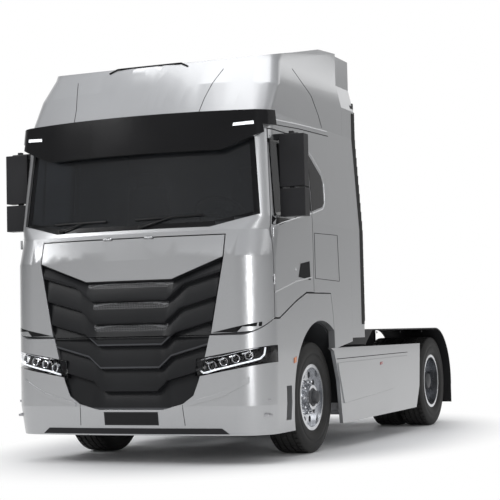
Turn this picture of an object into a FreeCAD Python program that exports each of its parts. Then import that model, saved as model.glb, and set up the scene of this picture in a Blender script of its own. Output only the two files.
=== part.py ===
import FreeCAD, Part
import math
import os
import sys

import Sketcher
from FreeCAD import Vector

# Cab-over two-axle tractor unit with a high-roof sleeper cab.
# The truck faces -Y, +X is its own left and +Z is up.
# The origin lies on the ground, midway along and across the whole vehicle.
# Lengths are millimetres. Places along the truck count from the front axle.

SIZES = [
    ("wheelbase", 3800, "front axle to rear axle"),
    ("rear_overhang", 900, "rear axle to the end of the frame"),
    ("overrun", 40, "how far a cutting shape passes the solid it cuts"),
    ("panel_gap", 10, "shut line between panels"),
    ("seam", 0.3, "seam between pieces that are fixed to each other"),
    ("cab_wall", 62, "thickness of the double-skinned cab walls"),
    ("skin", 34, "thickness of single panels and covers"),
    ("cab_half", 1250, "half width of the cab up to the belt"),
    ("sill_half", 1232, "half width at the sill"),
    ("roof_seam_half", 1192, "half width at the roof seam"),
    ("crown_half", 1140, "half width at the top of the roof walls"),
    ("cab_rear", 870, "rear wall of the cab"),
    ("fairing_rear", 1235, "rear edge of the side fairings"),
    ("nose_front", 1400, "front of the nose"),
    ("sill_front", 1362, "front at the sill"),
    ("shield_front", 1397, "front at the top of the grille shield"),
    ("screen_foot_front", 1375, "front at the foot of the windscreen"),
    ("belt_front", 1355, "front just above the belt"),
    ("roof_seam_front", 1262, "front at the roof seam"),
    ("roof_mid_front", 1105, "front half way up the roof"),
    ("brow_front", 935, "front at the brow of the roof"),
    ("crown_front", 700, "front of the walls at the crown"),
    ("sill_height", 250, "underside of the bumper"),
    ("bumper_height", 500, "widest line of the bumper"),
    ("waist_height", 1095, "split between cab and bumper"),
    ("shield_height", 1760, "top outer corner of the grille shield"),
    ("screen_foot_height", 1990, "foot of the windscreen"),
    ("belt_height", 2100, "height where the side walls start to lean in"),
    ("roof_seam_height", 3020, "seam between cab and roof"),
    ("roof_mid_height", 3300, "middle of the roof's front slope"),
    ("brow_height", 3520, "brow of the roof"),
    ("crown_height", 3900, "highest line of the roof walls"),
    ("nose_bow", 11000, "radius of the nose in plan"),
    ("foot_bow", 5000, "radius in plan at the foot of the windscreen"),
    ("screen_bow", 4000, "radius of the windscreen in plan"),
    ("roof_bow", 3500, "radius of the roof front in plan"),
    ("nose_corner", 300, "corner radius of the nose in plan"),
    ("screen_corner", 180, "corner radius beside the windscreen"),
    ("roof_corner", 240, "corner radius of the roof in plan"),
    ("roof_shoulder", 230, "radius between roof side and roof top"),
    ("floor_height", 1460, "underside of the cab floor"),
    ("floor_thickness", 60, "thickness of the cab floor"),
    ("tilt_front", 1300, "cab tilt axis before the front axle"),
    ("tilt_height", 950, "height of the cab tilt axis"),
    ("tilt_sweep", 176, "radius about the tilt axis that holds nothing of the cab"),
    ("tilt_clearance", 7, "clearance at the tilt split"),
    ("wing_reach", 1655, "rear edge of the wing from the tilt axis"),
    ("door_front", 1100, "front edge of the door"),
    ("door_rear", 165, "rear edge of the door before the front axle"),
    ("door_low_gap", 16, "gap under the door, over the wing"),
    ("door_clearance", 6, "door's inner face from the floor's edge"),
    ("door_top", 2860, "top edge of the door"),
    ("window_top", 2780, "top of the door window"),
    ("window_front", 1030, "front edge of the door window"),
    ("window_rear", 240, "rear edge of the door window"),
    ("glass_thickness", 6, "thickness of the windows"),
    ("flap_hinge_front", 1380, "flap hinge before the front axle"),
    ("flap_top", 1945, "top edge of the front flap"),
    ("flap_hinge_half", 200, "flap hinge from the centre line"),
    ("hinge_pin", 5, "radius of a hinge pin"),
    ("hinge_eye", 10, "radius of a hinge eye and its lugs"),
    ("hinge_length", 40, "length of a hinge eye"),
    ("hinge_fit", 1, "play beside a hinge eye"),
    ("hinge_room", 6, "room around a hinge eye or lug"),
    ("hinge_low", 1560, "height of the lower door hinge"),
    ("hinge_high", 1960, "height of the upper door hinge"),
    ("tyre_radius", 507, "radius of a 315/70 R22.5 tyre"),
    ("tyre_width", 315, "section width of a tyre"),
    ("front_track_half", 1008, "front tyre's middle from the centre line"),
    ("dual_spacing", 345, "spacing of the twin tyres"),
    ("rear_outer_half", 1040, "outer rear tyre's middle from the centre line"),
    ("bead_radius", 286, "bead seat radius of the wheel"),
    ("rim_wall", 14, "wall of the wheel's barrel and disc"),
    ("rim_flange", 16, "height of the rim flange over the bead seat"),
    ("hub_radius", 125, "radius of the wheel hub"),
    ("hub_bore", 45, "radius of the hub's bearing bore"),
    ("handhole_radius", 30, "radius of a hand hole in the disc"),
    ("handhole_circle", 212, "radius of the circle of hand holes"),
    ("handhole_count", 10, "hand holes in a disc"),
    ("running_fit", 0.05, "radial clearance of a turning pin"),
    ("kingpin_half", 890, "kingpin from the centre line"),
    ("kingpin_radius", 25, "radius of the kingpin"),
    ("kingpin_eye", 55, "radius of the axle beam's eye"),
    ("eye_height", 110, "height of the axle beam's eye"),
    ("lug_height", 34, "height of a knuckle lug"),
    ("arm_back", 200, "track rod pin behind the front axle"),
    ("rod_radius", 15, "radius of the track rod"),
    ("rod_eye_height", 28, "height of a track rod eye"),
    ("arch_radius", 700, "wheel opening about the front axle"),
    ("liner_radius", 660, "arch liner about the front axle"),
    ("rail_outer", 400, "outer face of a frame rail from the centre line"),
    ("rail_height", 270, "height of a frame rail"),
    ("rail_top", 960, "top of the frame rails"),
    ("rail_flange", 80, "flange width of a frame rail"),
    ("rail_wall", 9, "wall of a frame rail"),
    ("rail_front", 1180, "front end of the frame rails"),
    ("skirt_top", 950, "top of the side skirts"),
    ("skirt_bottom", 235, "bottom of the side skirts"),
    ("skirt_front", 530, "lower front corner of the side skirts"),
    ("skirt_rear", 3130, "upper rear corner of the side skirts"),
    ("guard_top", 1120, "top of the rear mudguards"),
    ("guard_radius", 605, "rear mudguard about the rear axle"),
    ("guard_inner", 520, "inner edge of the rear mudguards"),
    ("guard_wall", 14, "wall of the rear mudguards"),
    ("coupling_top", 1150, "top face of the fifth wheel"),
    ("coupling_front", 560, "fifth wheel pivot ahead of the rear axle"),
    ("coupling_half", 450, "half width of the fifth wheel plate"),
    ("coupling_plate", 40, "thickness of the fifth wheel plate"),
    ("jaw_radius", 25.6, "bore of the closed locking jaw"),
    ("steering_tilt", 35, "tilt of the steering wheel, degrees"),
    ("seat_middle", 560, "middle of a seat from the centre line"),
]

doc = FreeCAD.newDocument("tractor_unit")
sheet = doc.addObject("Spreadsheet::Sheet", "Sizes")
for row_number, (alias, value, note) in enumerate(SIZES, start=1):
    sheet.set(f"A{row_number}", note)
    sheet.set(f"B{row_number}", str(value))
    sheet.setAlias(f"B{row_number}", alias)
doc.recompute()


class Lengths:
    """The sheet's cells by name, as plain numbers."""

    def __getattr__(self, alias):
        return float(sheet.get(alias))


mm = Lengths()
LIFT = "-(Sizes.wheelbase + Sizes.rear_overhang - Sizes.nose_front) / 2"
pieces = []


def piece(label, shape):
    """Keep a finished shape as one named piece, moved so that the origin is midway."""
    made = doc.addObject("Part::Feature", label)
    made.Label = label
    made.Shape = shape
    made.setExpression("Placement.Base.y", LIFT)
    pieces.append(made)
    return made


def cut_from(base, *tools):
    for tool in tools:
        base = base.cut(tool)
    return base


def side_prism(outline, inner, outer):
    """Extrude an outline of (y, z) points across the truck from inner to outer."""
    corners = [Vector(inner, y, z) for y, z in outline]
    face = Part.Face(Part.makePolygon(corners + corners[:1]))
    return face.extrude(Vector(outer - inner, 0, 0))


def front_prism(outline, start, end):
    """Extrude an outline of (x, z) points along the truck from start to end."""
    corners = [Vector(x, start, z) for x, z in outline]
    face = Part.Face(Part.makePolygon(corners + corners[:1]))
    return face.extrude(Vector(0, end - start, 0))


def block(low, high):
    size = Vector(*high) - Vector(*low)
    return Part.makeBox(size.x, size.y, size.z, Vector(*low))


def across(radius, y, z, inner, outer):
    """A cylinder that lies across the truck."""
    return Part.makeCylinder(radius, outer - inner, Vector(inner, y, z), Vector(1, 0, 0))


def mirrored(shape):
    return shape.mirror(Vector(0, 0, 0), Vector(1, 0, 0))


def both(shape):
    """A piece and its mirror image as one compound of separate solids."""
    return Part.makeCompound([shape, mirrored(shape)])


# Outer shape of the cab and nose: walls ruled between plan outlines
PLAN_LEVELS = [
    (mm.sill_height, mm.sill_front, mm.nose_bow, mm.sill_half, mm.nose_corner),
    (mm.bumper_height, mm.nose_front, mm.nose_bow, mm.cab_half, mm.nose_corner),
    (mm.waist_height, mm.nose_front, mm.nose_bow, mm.cab_half, mm.nose_corner),
    (mm.shield_height, mm.shield_front, mm.nose_bow, mm.cab_half, mm.nose_corner),
    (mm.screen_foot_height, mm.screen_foot_front, mm.foot_bow, mm.cab_half, mm.nose_corner),
    (mm.belt_height, mm.belt_front, mm.screen_bow, mm.cab_half, mm.screen_corner),
    (mm.roof_seam_height, mm.roof_seam_front, mm.roof_bow, mm.roof_seam_half, mm.screen_corner),
]
ROOF_LEVELS = [
    (mm.roof_seam_height, mm.roof_seam_front, mm.roof_bow, mm.roof_seam_half, mm.screen_corner),
    (mm.roof_mid_height, mm.roof_mid_front, mm.roof_bow, mm.roof_seam_half, mm.roof_corner),
    (mm.brow_height, mm.brow_front, mm.roof_bow, mm.crown_half, mm.roof_corner),
    (mm.crown_height, mm.crown_front, mm.roof_bow, mm.crown_half, mm.roof_corner),
]


def plan_wire(level, inset, rear):
    """Plan outline: bowed front, two round corners, straight sides and a straight back."""
    height, front, bow, half, corner = level
    front = front - inset
    bow = bow - inset
    half = half - inset
    corner = corner - inset
    centre = bow - front
    corner_x = half - corner
    corner_y = centre - math.sqrt((bow - corner) ** 2 - corner_x ** 2)
    lean_x = corner_x / (bow - corner)
    lean_y = (corner_y - centre) / (bow - corner)
    turn_x = lean_x * bow
    turn_y = centre + lean_y * bow
    mid = Vector(lean_x + 1, lean_y, 0).normalize()
    left = [
        Vector(turn_x, turn_y, height),
        Vector(corner_x + mid.x * corner, corner_y + mid.y * corner, height),
        Vector(half, corner_y, height),
        Vector(half, rear - inset, height),
    ]
    right = [Vector(-place.x, place.y, place.z) for place in left]
    edges = [
        Part.Arc(right[0], Vector(0, -front, height), left[0]).toShape(),
        Part.Arc(left[0], left[1], left[2]).toShape(),
        Part.LineSegment(left[2], left[3]).toShape(),
        Part.LineSegment(left[3], right[3]).toShape(),
        Part.LineSegment(right[3], right[2]).toShape(),
        Part.Arc(right[2], right[1], right[0]).toShape(),
    ]
    return Part.Wire(edges)


def body_solid(levels, inset, rear):
    return Part.makeLoft([plan_wire(level, inset, rear) for level in levels], True, True)


cab_outer = body_solid(PLAN_LEVELS, 0, mm.cab_rear)
cab_inner = body_solid(PLAN_LEVELS, mm.cab_wall, mm.cab_rear)
skin_inner = body_solid(PLAN_LEVELS, mm.skin, mm.cab_rear + mm.skin + mm.overrun)
cab_shell = cab_outer.cut(cab_inner)
thin_shell = cab_outer.cut(skin_inner)

far = mm.cab_half + mm.overrun
back = mm.cab_rear + mm.overrun
nose = -mm.nose_front - mm.overrun
gap = mm.panel_gap
tilt_y = -mm.tilt_front
top = mm.crown_height + mm.overrun

# Side view: the split between what tilts with the cab and what stays on the frame
SPLIT_LINE = [
    (nose, mm.waist_height),
    (-mm.nose_front + mm.nose_corner * 0.2, mm.waist_height),
    (-mm.door_front - 20, mm.waist_height + 127),
    (-mm.door_front + 90, mm.waist_height + 127),
    (-mm.arch_radius * 0.88, mm.waist_height + 275),
    (-mm.arch_radius * 0.5, mm.waist_height + 355),
    (mm.arch_radius * 0.28, mm.waist_height + 360),
]
wing_edge_y = tilt_y + math.sqrt(mm.wing_reach ** 2 - (SPLIT_LINE[-1][1] - mm.tilt_height) ** 2)


def raised(line, lift):
    return [(y, z + lift) for y, z in line]


cab_low_rear = mm.skirt_top + 60
cab_side_region = side_prism(
    raised(SPLIT_LINE, mm.panel_gap) + [
        (wing_edge_y, SPLIT_LINE[-1][1] + mm.panel_gap),
        (wing_edge_y, mm.skirt_top),
        (mm.cab_rear * 0.5, mm.skirt_top),
        (back, cab_low_rear),
        (back, mm.roof_seam_height),
        (nose, mm.roof_seam_height),
    ], -far, far)
tilt_room = across(mm.tilt_sweep, tilt_y, mm.tilt_height, -far, far)
wing_room = across(mm.wing_reach + mm.tilt_clearance, tilt_y, mm.tilt_height, -far, far)
below_split = block((-far, nose, 0), (far, back, SPLIT_LINE[-1][1] + mm.panel_gap))
behind_axle = block((-far, 0, 0), (far, back, SPLIT_LINE[-1][1] + mm.panel_gap))
cab_side_region = cab_side_region.cut(tilt_room).cut(wing_room.common(behind_axle))



def hinge_parts(middle, along):
    """Turning eye, fixed lugs with their pin, and the room each needs in the other panel."""
    half = along * (mm.hinge_length / 2)
    fit = along * mm.seam
    eye = Part.makeCylinder(mm.hinge_eye, mm.hinge_length, middle - half, along)
    hole = Part.makeCylinder(mm.hinge_pin + mm.running_fit, mm.hinge_length, middle - half, along)
    pin = Part.makeCylinder(mm.hinge_pin, mm.hinge_length * 2, middle - half * 2, along)
    lug = Part.makeCylinder(mm.hinge_eye, mm.hinge_length / 2 - mm.hinge_fit, middle + half + along * mm.hinge_fit, along)
    other = Part.makeCylinder(mm.hinge_eye, mm.hinge_length / 2 - mm.hinge_fit, middle - half * 2, along)
    reach = mm.hinge_eye + mm.hinge_room
    eye_room = Part.makeCylinder(reach, mm.hinge_length + 2 * mm.hinge_fit, middle - half - along * mm.hinge_fit, along)
    lug_room = Part.makeCylinder(reach, mm.hinge_length * 2 + 2 * mm.hinge_room,
                                 middle - half * 2 - along * mm.hinge_room, along).cut(
        Part.makeCylinder(reach + mm.seam, mm.hinge_length, middle - half, along))
    return eye.cut(hole), pin.fuse([lug, other]), eye_room, lug_room


# Doors
split_at_door = SPLIT_LINE[2][1]
low_gap = mm.door_low_gap
door_outline = [
    (-mm.door_front, split_at_door + low_gap),
    (SPLIT_LINE[3][0], SPLIT_LINE[3][1] + low_gap),
    (SPLIT_LINE[4][0], SPLIT_LINE[4][1] + low_gap),
    (SPLIT_LINE[5][0], SPLIT_LINE[5][1] + low_gap),
    (-mm.door_rear, SPLIT_LINE[5][1] + low_gap),
    (-mm.door_rear, mm.door_top),
    (-mm.door_front + gap * 8, mm.door_top),
    (-mm.door_front, mm.belt_height),
]
opening_outline = [
    (-mm.door_front - gap, 0),
    (-mm.door_rear + gap, 0),
    (-mm.door_rear + gap, mm.door_top + gap),
    (-mm.door_front + gap * 7, mm.door_top + gap),
    (-mm.door_front - gap, mm.belt_height),
]
window_outline = [
    (-mm.window_front - 40, mm.belt_height),
    (-mm.window_rear, mm.belt_height + 110),
    (-mm.window_rear, mm.window_top),
    (-mm.window_front, mm.window_top),
]
left_side = cab_shell.common(block((mm.cab_half * 0.7, nose, 0), (far, back, top)))
door_solid = left_side.common(side_prism(door_outline, 0, far))
window_cut = side_prism(window_outline, 0, far)
door_hinge_y = -mm.door_front - gap / 2
door_hinges = [hinge_parts(Vector(mm.cab_half, door_hinge_y, height), Vector(0, 0, 1))
               for height in (mm.hinge_low, mm.hinge_high)]
door_panel = door_solid.cut(window_cut)
for eye, lugs, eye_room, lug_room in door_hinges:
    eye_hole = Part.makeCylinder(
        mm.hinge_pin + mm.running_fit, mm.hinge_length * 3, eye.BoundBox.Center - Vector(0, 0, mm.hinge_length * 1.5))
    door_panel = door_panel.cut(lug_room).fuse(eye).cut(eye_hole)
door_panel = door_panel.removeSplitter()
pane = cab_outer.cut(body_solid(PLAN_LEVELS, mm.glass_thickness, back))
inner_pane = body_solid(PLAN_LEVELS, mm.cab_wall / 2, back).cut(
    body_solid(PLAN_LEVELS, mm.cab_wall / 2 + mm.glass_thickness, back))
seam_in = mm.seam
glass_outline = [
    (-mm.window_front - 40 + seam_in, mm.belt_height + seam_in),
    (-mm.window_rear - seam_in, mm.belt_height + 110 + seam_in),
    (-mm.window_rear - seam_in, mm.window_top - seam_in),
    (-mm.window_front + seam_in, mm.window_top - seam_in),
]
door_glass = inner_pane.common(side_prism(glass_outline, 0, far))
for side, flip in (("left", False), ("right", True)):
    piece(f"door_{side}", mirrored(door_panel) if flip else door_panel)
    piece(f"door_glass_{side}", mirrored(door_glass) if flip else door_glass)

# Front flap: bare panel under the windscreen and the upper rows of the grille
PANEL_EDGE = [(mm.cab_half * 0.708, mm.shield_height), (mm.cab_half * 0.332, mm.shield_height - 175)]
flap_low_half = mm.cab_half * 0.6
panel_outline = [
    (PANEL_EDGE[0][0], PANEL_EDGE[0][1]),
    (PANEL_EDGE[1][0], PANEL_EDGE[1][1]),
    (-PANEL_EDGE[1][0], PANEL_EDGE[1][1]),
    (-PANEL_EDGE[0][0], PANEL_EDGE[0][1]),
    (-PANEL_EDGE[0][0], mm.flap_top),
    (PANEL_EDGE[0][0], mm.flap_top),
]
front_zone = -mm.nose_front + mm.nose_corner
front_panel = thin_shell.common(front_prism(panel_outline, nose, front_zone))
shield_outline = [
    (PANEL_EDGE[0][0], PANEL_EDGE[0][1] - seam_in),
    (PANEL_EDGE[1][0], PANEL_EDGE[1][1] - seam_in),
    (-PANEL_EDGE[1][0], PANEL_EDGE[1][1] - seam_in),
    (-PANEL_EDGE[0][0], PANEL_EDGE[0][1] - seam_in),
    (-flap_low_half, mm.waist_height - mm.overrun),
    (flap_low_half, mm.waist_height - mm.overrun),
]
grille_upper = thin_shell.common(front_prism(shield_outline, nose, front_zone)).cut(tilt_room)
flap_hinge = hinge_parts(Vector(mm.flap_hinge_half, -mm.flap_hinge_front, mm.flap_top + gap / 2), Vector(1, 0, 0))
for eye, lugs, eye_room, lug_room in (flap_hinge, [mirrored(shape) for shape in flap_hinge]):
    front_panel = front_panel.cut(lug_room).fuse(eye).cut(lugs)
front_panel = front_panel.cut(across(
    mm.hinge_pin + mm.running_fit, -mm.flap_hinge_front, mm.flap_top + gap / 2, -mm.cab_half, mm.cab_half))
piece("front_panel", front_panel.removeSplitter())
piece("grille_upper", grille_upper)

# Corner panels beside the flap, back to the doors
flap_hole = front_prism([
    (PANEL_EDGE[0][0] + gap, PANEL_EDGE[0][1]),
    (flap_low_half + gap, mm.waist_height - mm.overrun),
    (-flap_low_half - gap, mm.waist_height - mm.overrun),
    (-PANEL_EDGE[0][0] - gap, PANEL_EDGE[0][1]),
    (-PANEL_EDGE[0][0] - gap, mm.flap_top + gap),
    (PANEL_EDGE[0][0] + gap, mm.flap_top + gap),
], nose, front_zone)
corner_band = block((0, nose, 0), (far, -mm.door_front - gap, mm.screen_foot_height))
corner_panel = cab_shell.common(cab_side_region).common(corner_band).cut(flap_hole)
for eye, lugs, eye_room, lug_room in door_hinges + [flap_hinge]:
    corner_panel = corner_panel.cut(eye_room).fuse(lugs)
piece("corner_panels", both(corner_panel.removeSplitter()))

# Windscreen and the frame round it
screen_outline = [
    (mm.cab_half * 0.93, mm.belt_height + 20),
    (mm.cab_half * 0.6, mm.screen_foot_height + 30),
    (-mm.cab_half * 0.6, mm.screen_foot_height + 30),
    (-mm.cab_half * 0.93, mm.belt_height + 20),
    (-mm.cab_half * 0.87, mm.roof_seam_height - 90),
    (mm.cab_half * 0.87, mm.roof_seam_height - 90),
]
screen_cut = front_prism(screen_outline, nose, -mm.door_front + 200)
screen = inner_pane.common(screen_cut)
piece("windscreen", screen)

# Cab frame: pillars, side walls, rear wall and floor
above_corner = block((-far, nose, mm.screen_foot_height + seam_in), (far, -mm.door_front - gap, top))
door_room = side_prism(opening_outline, 0, far)
frame_zone = cab_shell.common(cab_side_region)
front_frame = frame_zone.common(above_corner).cut(screen_cut)
lintel = frame_zone.common(side_prism([
    (-mm.door_front - gap, mm.belt_height),
    (-mm.door_front + gap * 7, mm.door_top + gap),
    (-mm.door_rear + gap, mm.door_top + gap),
    (-mm.door_rear + gap, mm.roof_seam_height),
    (-mm.door_front - gap, mm.roof_seam_height),
], -far, far))
rear_frame = frame_zone.common(block((-far, -mm.door_rear + gap, 0), (far, back, mm.roof_seam_height)))
under_floor = block((-mm.cab_half * 0.68, 0, 0), (mm.cab_half * 0.68, back, mm.floor_height))
rear_frame = rear_frame.cut(under_floor)
piece("cab_frame", front_frame.fuse([lintel.cut(screen_cut), rear_frame]).removeSplitter())
floor_clear = mm.cab_wall + mm.door_clearance
floor_back = mm.cab_rear - mm.cab_wall - mm.seam
piece("cab_floor", body_solid(PLAN_LEVELS, floor_clear, floor_back + floor_clear).common(block(
    (-far, -mm.door_front - mm.cab_wall, mm.floor_height),
    (far, back, mm.floor_height + mm.floor_thickness))))

# High roof
roof_line = [
    (nose, mm.roof_seam_height + mm.seam),
    (-mm.roof_seam_front - mm.overrun, mm.roof_mid_height),
    (-mm.brow_front + 20, mm.brow_height + 10),
    (-300, mm.brow_height + 130),
    (400, mm.brow_height + 280),
    (mm.cab_rear + mm.overrun, mm.crown_height - 60),
    (mm.cab_rear + mm.overrun, mm.roof_seam_height + mm.seam),
]


def shoulder_prism(inset):
    """Cross-section of the roof with round shoulders, along the whole cab."""
    half = mm.roof_seam_half + mm.overrun - inset
    high = mm.crown_height - 20 - inset
    outline = [
        (-half, mm.roof_seam_height), (-half, high), (half, high), (half, mm.roof_seam_height)]
    return front_prism(outline, nose, back)


roof_outer = body_solid(ROOF_LEVELS, 0, mm.cab_rear).common(side_prism(roof_line, -far, far))
roof_line_in = [(y, z - mm.cab_wall) for y, z in roof_line]
roof_inner = body_solid(ROOF_LEVELS, mm.cab_wall, mm.cab_rear).common(side_prism(
    [(nose, 0)] + roof_line_in[1:-1] + [(back, 0)], -far, far))
piece("roof", roof_outer.cut(roof_inner))

# Side fairings behind the cab
fairing_levels = PLAN_LEVELS[1:]
fairing_body = body_solid(fairing_levels, 0, mm.fairing_rear).cut(
    body_solid(fairing_levels, mm.skin, mm.fairing_rear + mm.skin + mm.overrun))
fairing = fairing_body.common(block(
    (0, mm.cab_rear + mm.seam, cab_low_rear + 30), (far, mm.fairing_rear, mm.roof_seam_height)))
fairing_top = body_solid(ROOF_LEVELS, 0, mm.fairing_rear).cut(
    body_solid(ROOF_LEVELS, mm.skin, mm.fairing_rear + mm.skin + mm.overrun)).common(block(
        (0, mm.cab_rear + mm.seam, mm.roof_seam_height), (far, mm.fairing_rear, mm.crown_height - 90)))
piece("side_fairings", both(fairing.fuse(fairing_top)))

# Sun visor
visor_outer = body_solid(PLAN_LEVELS[5:], -70, mm.cab_rear)
visor_inner = body_solid(PLAN_LEVELS[5:], -mm.seam, mm.cab_rear + mm.overrun * 4)
visor_zone = side_prism([
    (nose - 100, 2680), (-mm.door_front - 25, 2680), (-mm.door_front - 25, mm.door_top + 30),
    (-mm.door_front + 100, mm.door_top + 30), (-mm.door_front + 100, mm.roof_seam_height),
    (nose - 100, mm.roof_seam_height)], -far * 1.1, far * 1.1)
visor = visor_outer.cut(visor_inner).common(visor_zone)
piece("sun_visor", visor)

# Mirrors
mirror_low = 2100
mirror_split = 2350
mirror_high = 2870
mirror_near = mm.cab_half + 15
mirror_far = mm.cab_half + 245
mirror_y = -970
mirror_deep = 110
mirror_main = block((mirror_near, mirror_y, mirror_split + 8), (mirror_far, mirror_y + mirror_deep, mirror_high - 60))
mirror_wide = block((mirror_near, mirror_y, mirror_low), (mirror_far, mirror_y + mirror_deep, mirror_split - 8))
mirror_arm = block((1175, mirror_y + 20, mirror_high - 100), (mirror_far - 60, mirror_y + 80, mirror_high - 50))
mirror_post = block((mirror_near + 80, mirror_y + 30, mirror_low + 20), (mirror_near + 120, mirror_y + 70, mirror_high - 30))
mirror_arm = mirror_arm.cut(cab_outer)
mirror = mirror_main.fuse([mirror_wide, mirror_arm, mirror_post]).removeSplitter()
piece("mirror_left", mirror)
piece("mirror_right", mirrored(mirror))

# Inside the cab
floor_top = mm.floor_height + mm.floor_thickness + mm.seam
dash_back = -mm.door_front + 260
dashboard = body_solid(PLAN_LEVELS, mm.cab_wall + mm.seam * 10, back).common(block(
    (-mm.cab_half * 0.88, -mm.nose_front + 100, floor_top), (mm.cab_half * 0.88, dash_back, mm.screen_foot_height - 20)))
seat_half = 250
seat_x = mm.seat_middle
cushion = block((seat_x - seat_half, -380, 1900), (seat_x + seat_half, 120, 2020))
backrest = side_prism([(120, 1900), (250, 2700), (150, 2700), (20, 2020), (20, 2020)], seat_x - seat_half, seat_x + seat_half)
pedestal = block((seat_x - 160, -280, floor_top), (seat_x + 160, 60, 1900))
seat = cushion.fuse([block((seat_x - seat_half, 60, 1900), (seat_x + seat_half, 200, 2720)), pedestal]).removeSplitter()
piece("seats", both(seat))
piece("bunk", block((-mm.cab_half + 110, 260, floor_top), (mm.cab_half - 110, mm.cab_rear - mm.cab_wall - 5, 2050)))

# Steering wheel
wheel_centre = Vector(mm.seat_middle, -650, 2190)
tilt = math.radians(mm.steering_tilt)
column_up = Vector(0, math.sin(tilt), math.cos(tilt))
rim_ring = Part.makeTorus(225, 17, wheel_centre, column_up)
hub_disc = Part.makeCylinder(60, 40, wheel_centre - column_up * 30, column_up)
spokes = Part.makeBox(2 * 225, 44, 20, Vector(-225, -22, -20))
spokes.Placement = FreeCAD.Placement(wheel_centre, FreeCAD.Rotation(Vector(0, 0, 1), column_up))
steer_shaft = Part.makeCylinder(20, 380, wheel_centre - column_up * 400, column_up)
piece("steering_wheel", rim_ring.fuse([hub_disc, spokes, steer_shaft]))
shaft_bore = Part.makeCylinder(20 + mm.running_fit, 600, wheel_centre - column_up * 600, column_up)
piece("dashboard", dashboard.cut(shaft_bore))


# Bodies turned or drawn in sketches
def origin_plane(body, role):
    return next(item for item in body.Origin.OriginFeatures if item.Role == role)


def sketch_on(body, label, role, points):
    """A closed outline on an origin plane, each corner placed by two sheet expressions."""
    sketch = body.newObject("Sketcher::SketchObject", label)
    sketch.AttachmentSupport = [(origin_plane(body, role), "")]
    sketch.MapMode = "FlatFace"
    count = len(points)
    ring = [Vector(math.cos(turn), math.sin(turn), 0) for turn in
            (2 * math.pi * index / count for index in range(count))]
    for index in range(count):
        sketch.addGeometry(Part.LineSegment(ring[index], ring[(index + 1) % count]), False)
    for index in range(count):
        sketch.addConstraint(Sketcher.Constraint("Coincident", index, 2, (index + 1) % count, 1))
    for index, (across_by, up_by) in enumerate(points):
        number = sketch.addConstraint(Sketcher.Constraint("DistanceX", -1, 1, index, 1, ring[index].x))
        sketch.setExpression(f"Constraints[{number}]", across_by)
        number = sketch.addConstraint(Sketcher.Constraint("DistanceY", -1, 1, index, 1, ring[index].y))
        sketch.setExpression(f"Constraints[{number}]", up_by)
    return sketch


def turned(label, points):
    """A body revolved about its own X axis, from (along the axle, radius) expressions."""
    body = doc.addObject("PartDesign::Body", label)
    body.Label = label
    sketch = sketch_on(body, label + "_profile", "XY_Plane", points)
    spin = body.newObject("PartDesign::Revolution", label + "_turned")
    spin.Profile = sketch
    spin.ReferenceAxis = (origin_plane(body, "X_Axis"), [""])
    spin.Angle = 360
    return body


def set_place(body, x_by, z_by, y_by="0"):
    body.setExpression("Placement.Base.x", x_by)
    body.setExpression("Placement.Base.y", f"{LIFT} + ({y_by})")
    body.setExpression("Placement.Base.z", z_by)
    pieces.append(body)


TYRE_SHARES = [
    (0.87, 0.0), (0.87, 0.1), (0.96, 0.17), (1.0, 0.42), (0.985, 0.72), (0.93, 0.94), (0.86, 0.995), (0.5, 1.0),
    (0.14, 0.995), (0.07, 0.94), (0.015, 0.72), (0.0, 0.42), (0.04, 0.17), (0.13, 0.1), (0.13, 0.0),
]
WALL = "(Sizes.tyre_radius - Sizes.bead_radius - Sizes.seam)"
BEAD = "(Sizes.bead_radius + Sizes.seam)"


def tyre(label):
    points = [(f"Sizes.tyre_width * ({along} - 0.5)", f"{BEAD} + {WALL} * {up}") for along, up in TYRE_SHARES]
    return turned(label, points)


def wheel_disc(label, disc_at, hub_out):
    """Barrel with flanges, a flat disc at disc_at and a hub that stands out to hub_out."""
    wide = "Sizes.tyre_width"
    flange = "(Sizes.bead_radius + Sizes.rim_flange)"
    seat = "Sizes.bead_radius"
    inside = "(Sizes.bead_radius - Sizes.rim_wall)"
    bore = "(Sizes.hub_bore + Sizes.running_fit)"
    disc_back = f"({disc_at} - Sizes.rim_wall)"
    edge = f"({wide} * 0.38)"
    lip = f"({edge} + Sizes.rim_wall)"
    points = [
        (f"-{lip}", flange), (f"-{edge}", flange), (f"-{edge}", seat), (edge, seat), (edge, flange),
        (lip, flange), (lip, inside), (disc_at, inside), (disc_at, "Sizes.hub_radius"),
        (hub_out, "Sizes.hub_radius * 0.9"), (hub_out, bore), (f"({disc_back} - Sizes.rim_wall)", bore),
        (f"({disc_back} - Sizes.rim_wall)", "Sizes.hub_radius"), (disc_back, "Sizes.hub_radius"),
        (disc_back, inside), (f"-{lip}", inside),
    ]
    body = turned(label, points)
    doc.recompute()
    circle = body.newObject("Sketcher::SketchObject", label + "_handhole")
    circle.AttachmentSupport = [(origin_plane(body, "YZ_Plane"), "")]
    circle.MapMode = "FlatFace"
    circle.addGeometry(Part.Circle(Vector(mm.handhole_circle, 0, 0), Vector(0, 0, 1), mm.handhole_radius), False)
    circle.addConstraint(Sketcher.Constraint("Radius", 0, mm.handhole_radius))
    circle.setExpression("Constraints[0]", "Sizes.handhole_radius")
    circle.addConstraint(Sketcher.Constraint("DistanceX", -1, 1, 0, 3, mm.handhole_circle))
    circle.setExpression("Constraints[1]", "Sizes.handhole_circle")
    circle.addConstraint(Sketcher.Constraint("PointOnObject", 0, 3, -1))
    pocket = body.newObject("PartDesign::Pocket", label + "_hole")
    pocket.Profile = circle
    pocket.Type = "ThroughAll"
    pocket.Midplane = True
    ring = body.newObject("PartDesign::PolarPattern", label + "_holes")
    ring.Originals = [pocket]
    ring.Axis = (origin_plane(body, "X_Axis"), [""])
    ring.Angle = 360
    ring.setExpression("Occurrences", "Sizes.handhole_count")
    body.Tip = ring
    return body


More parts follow.
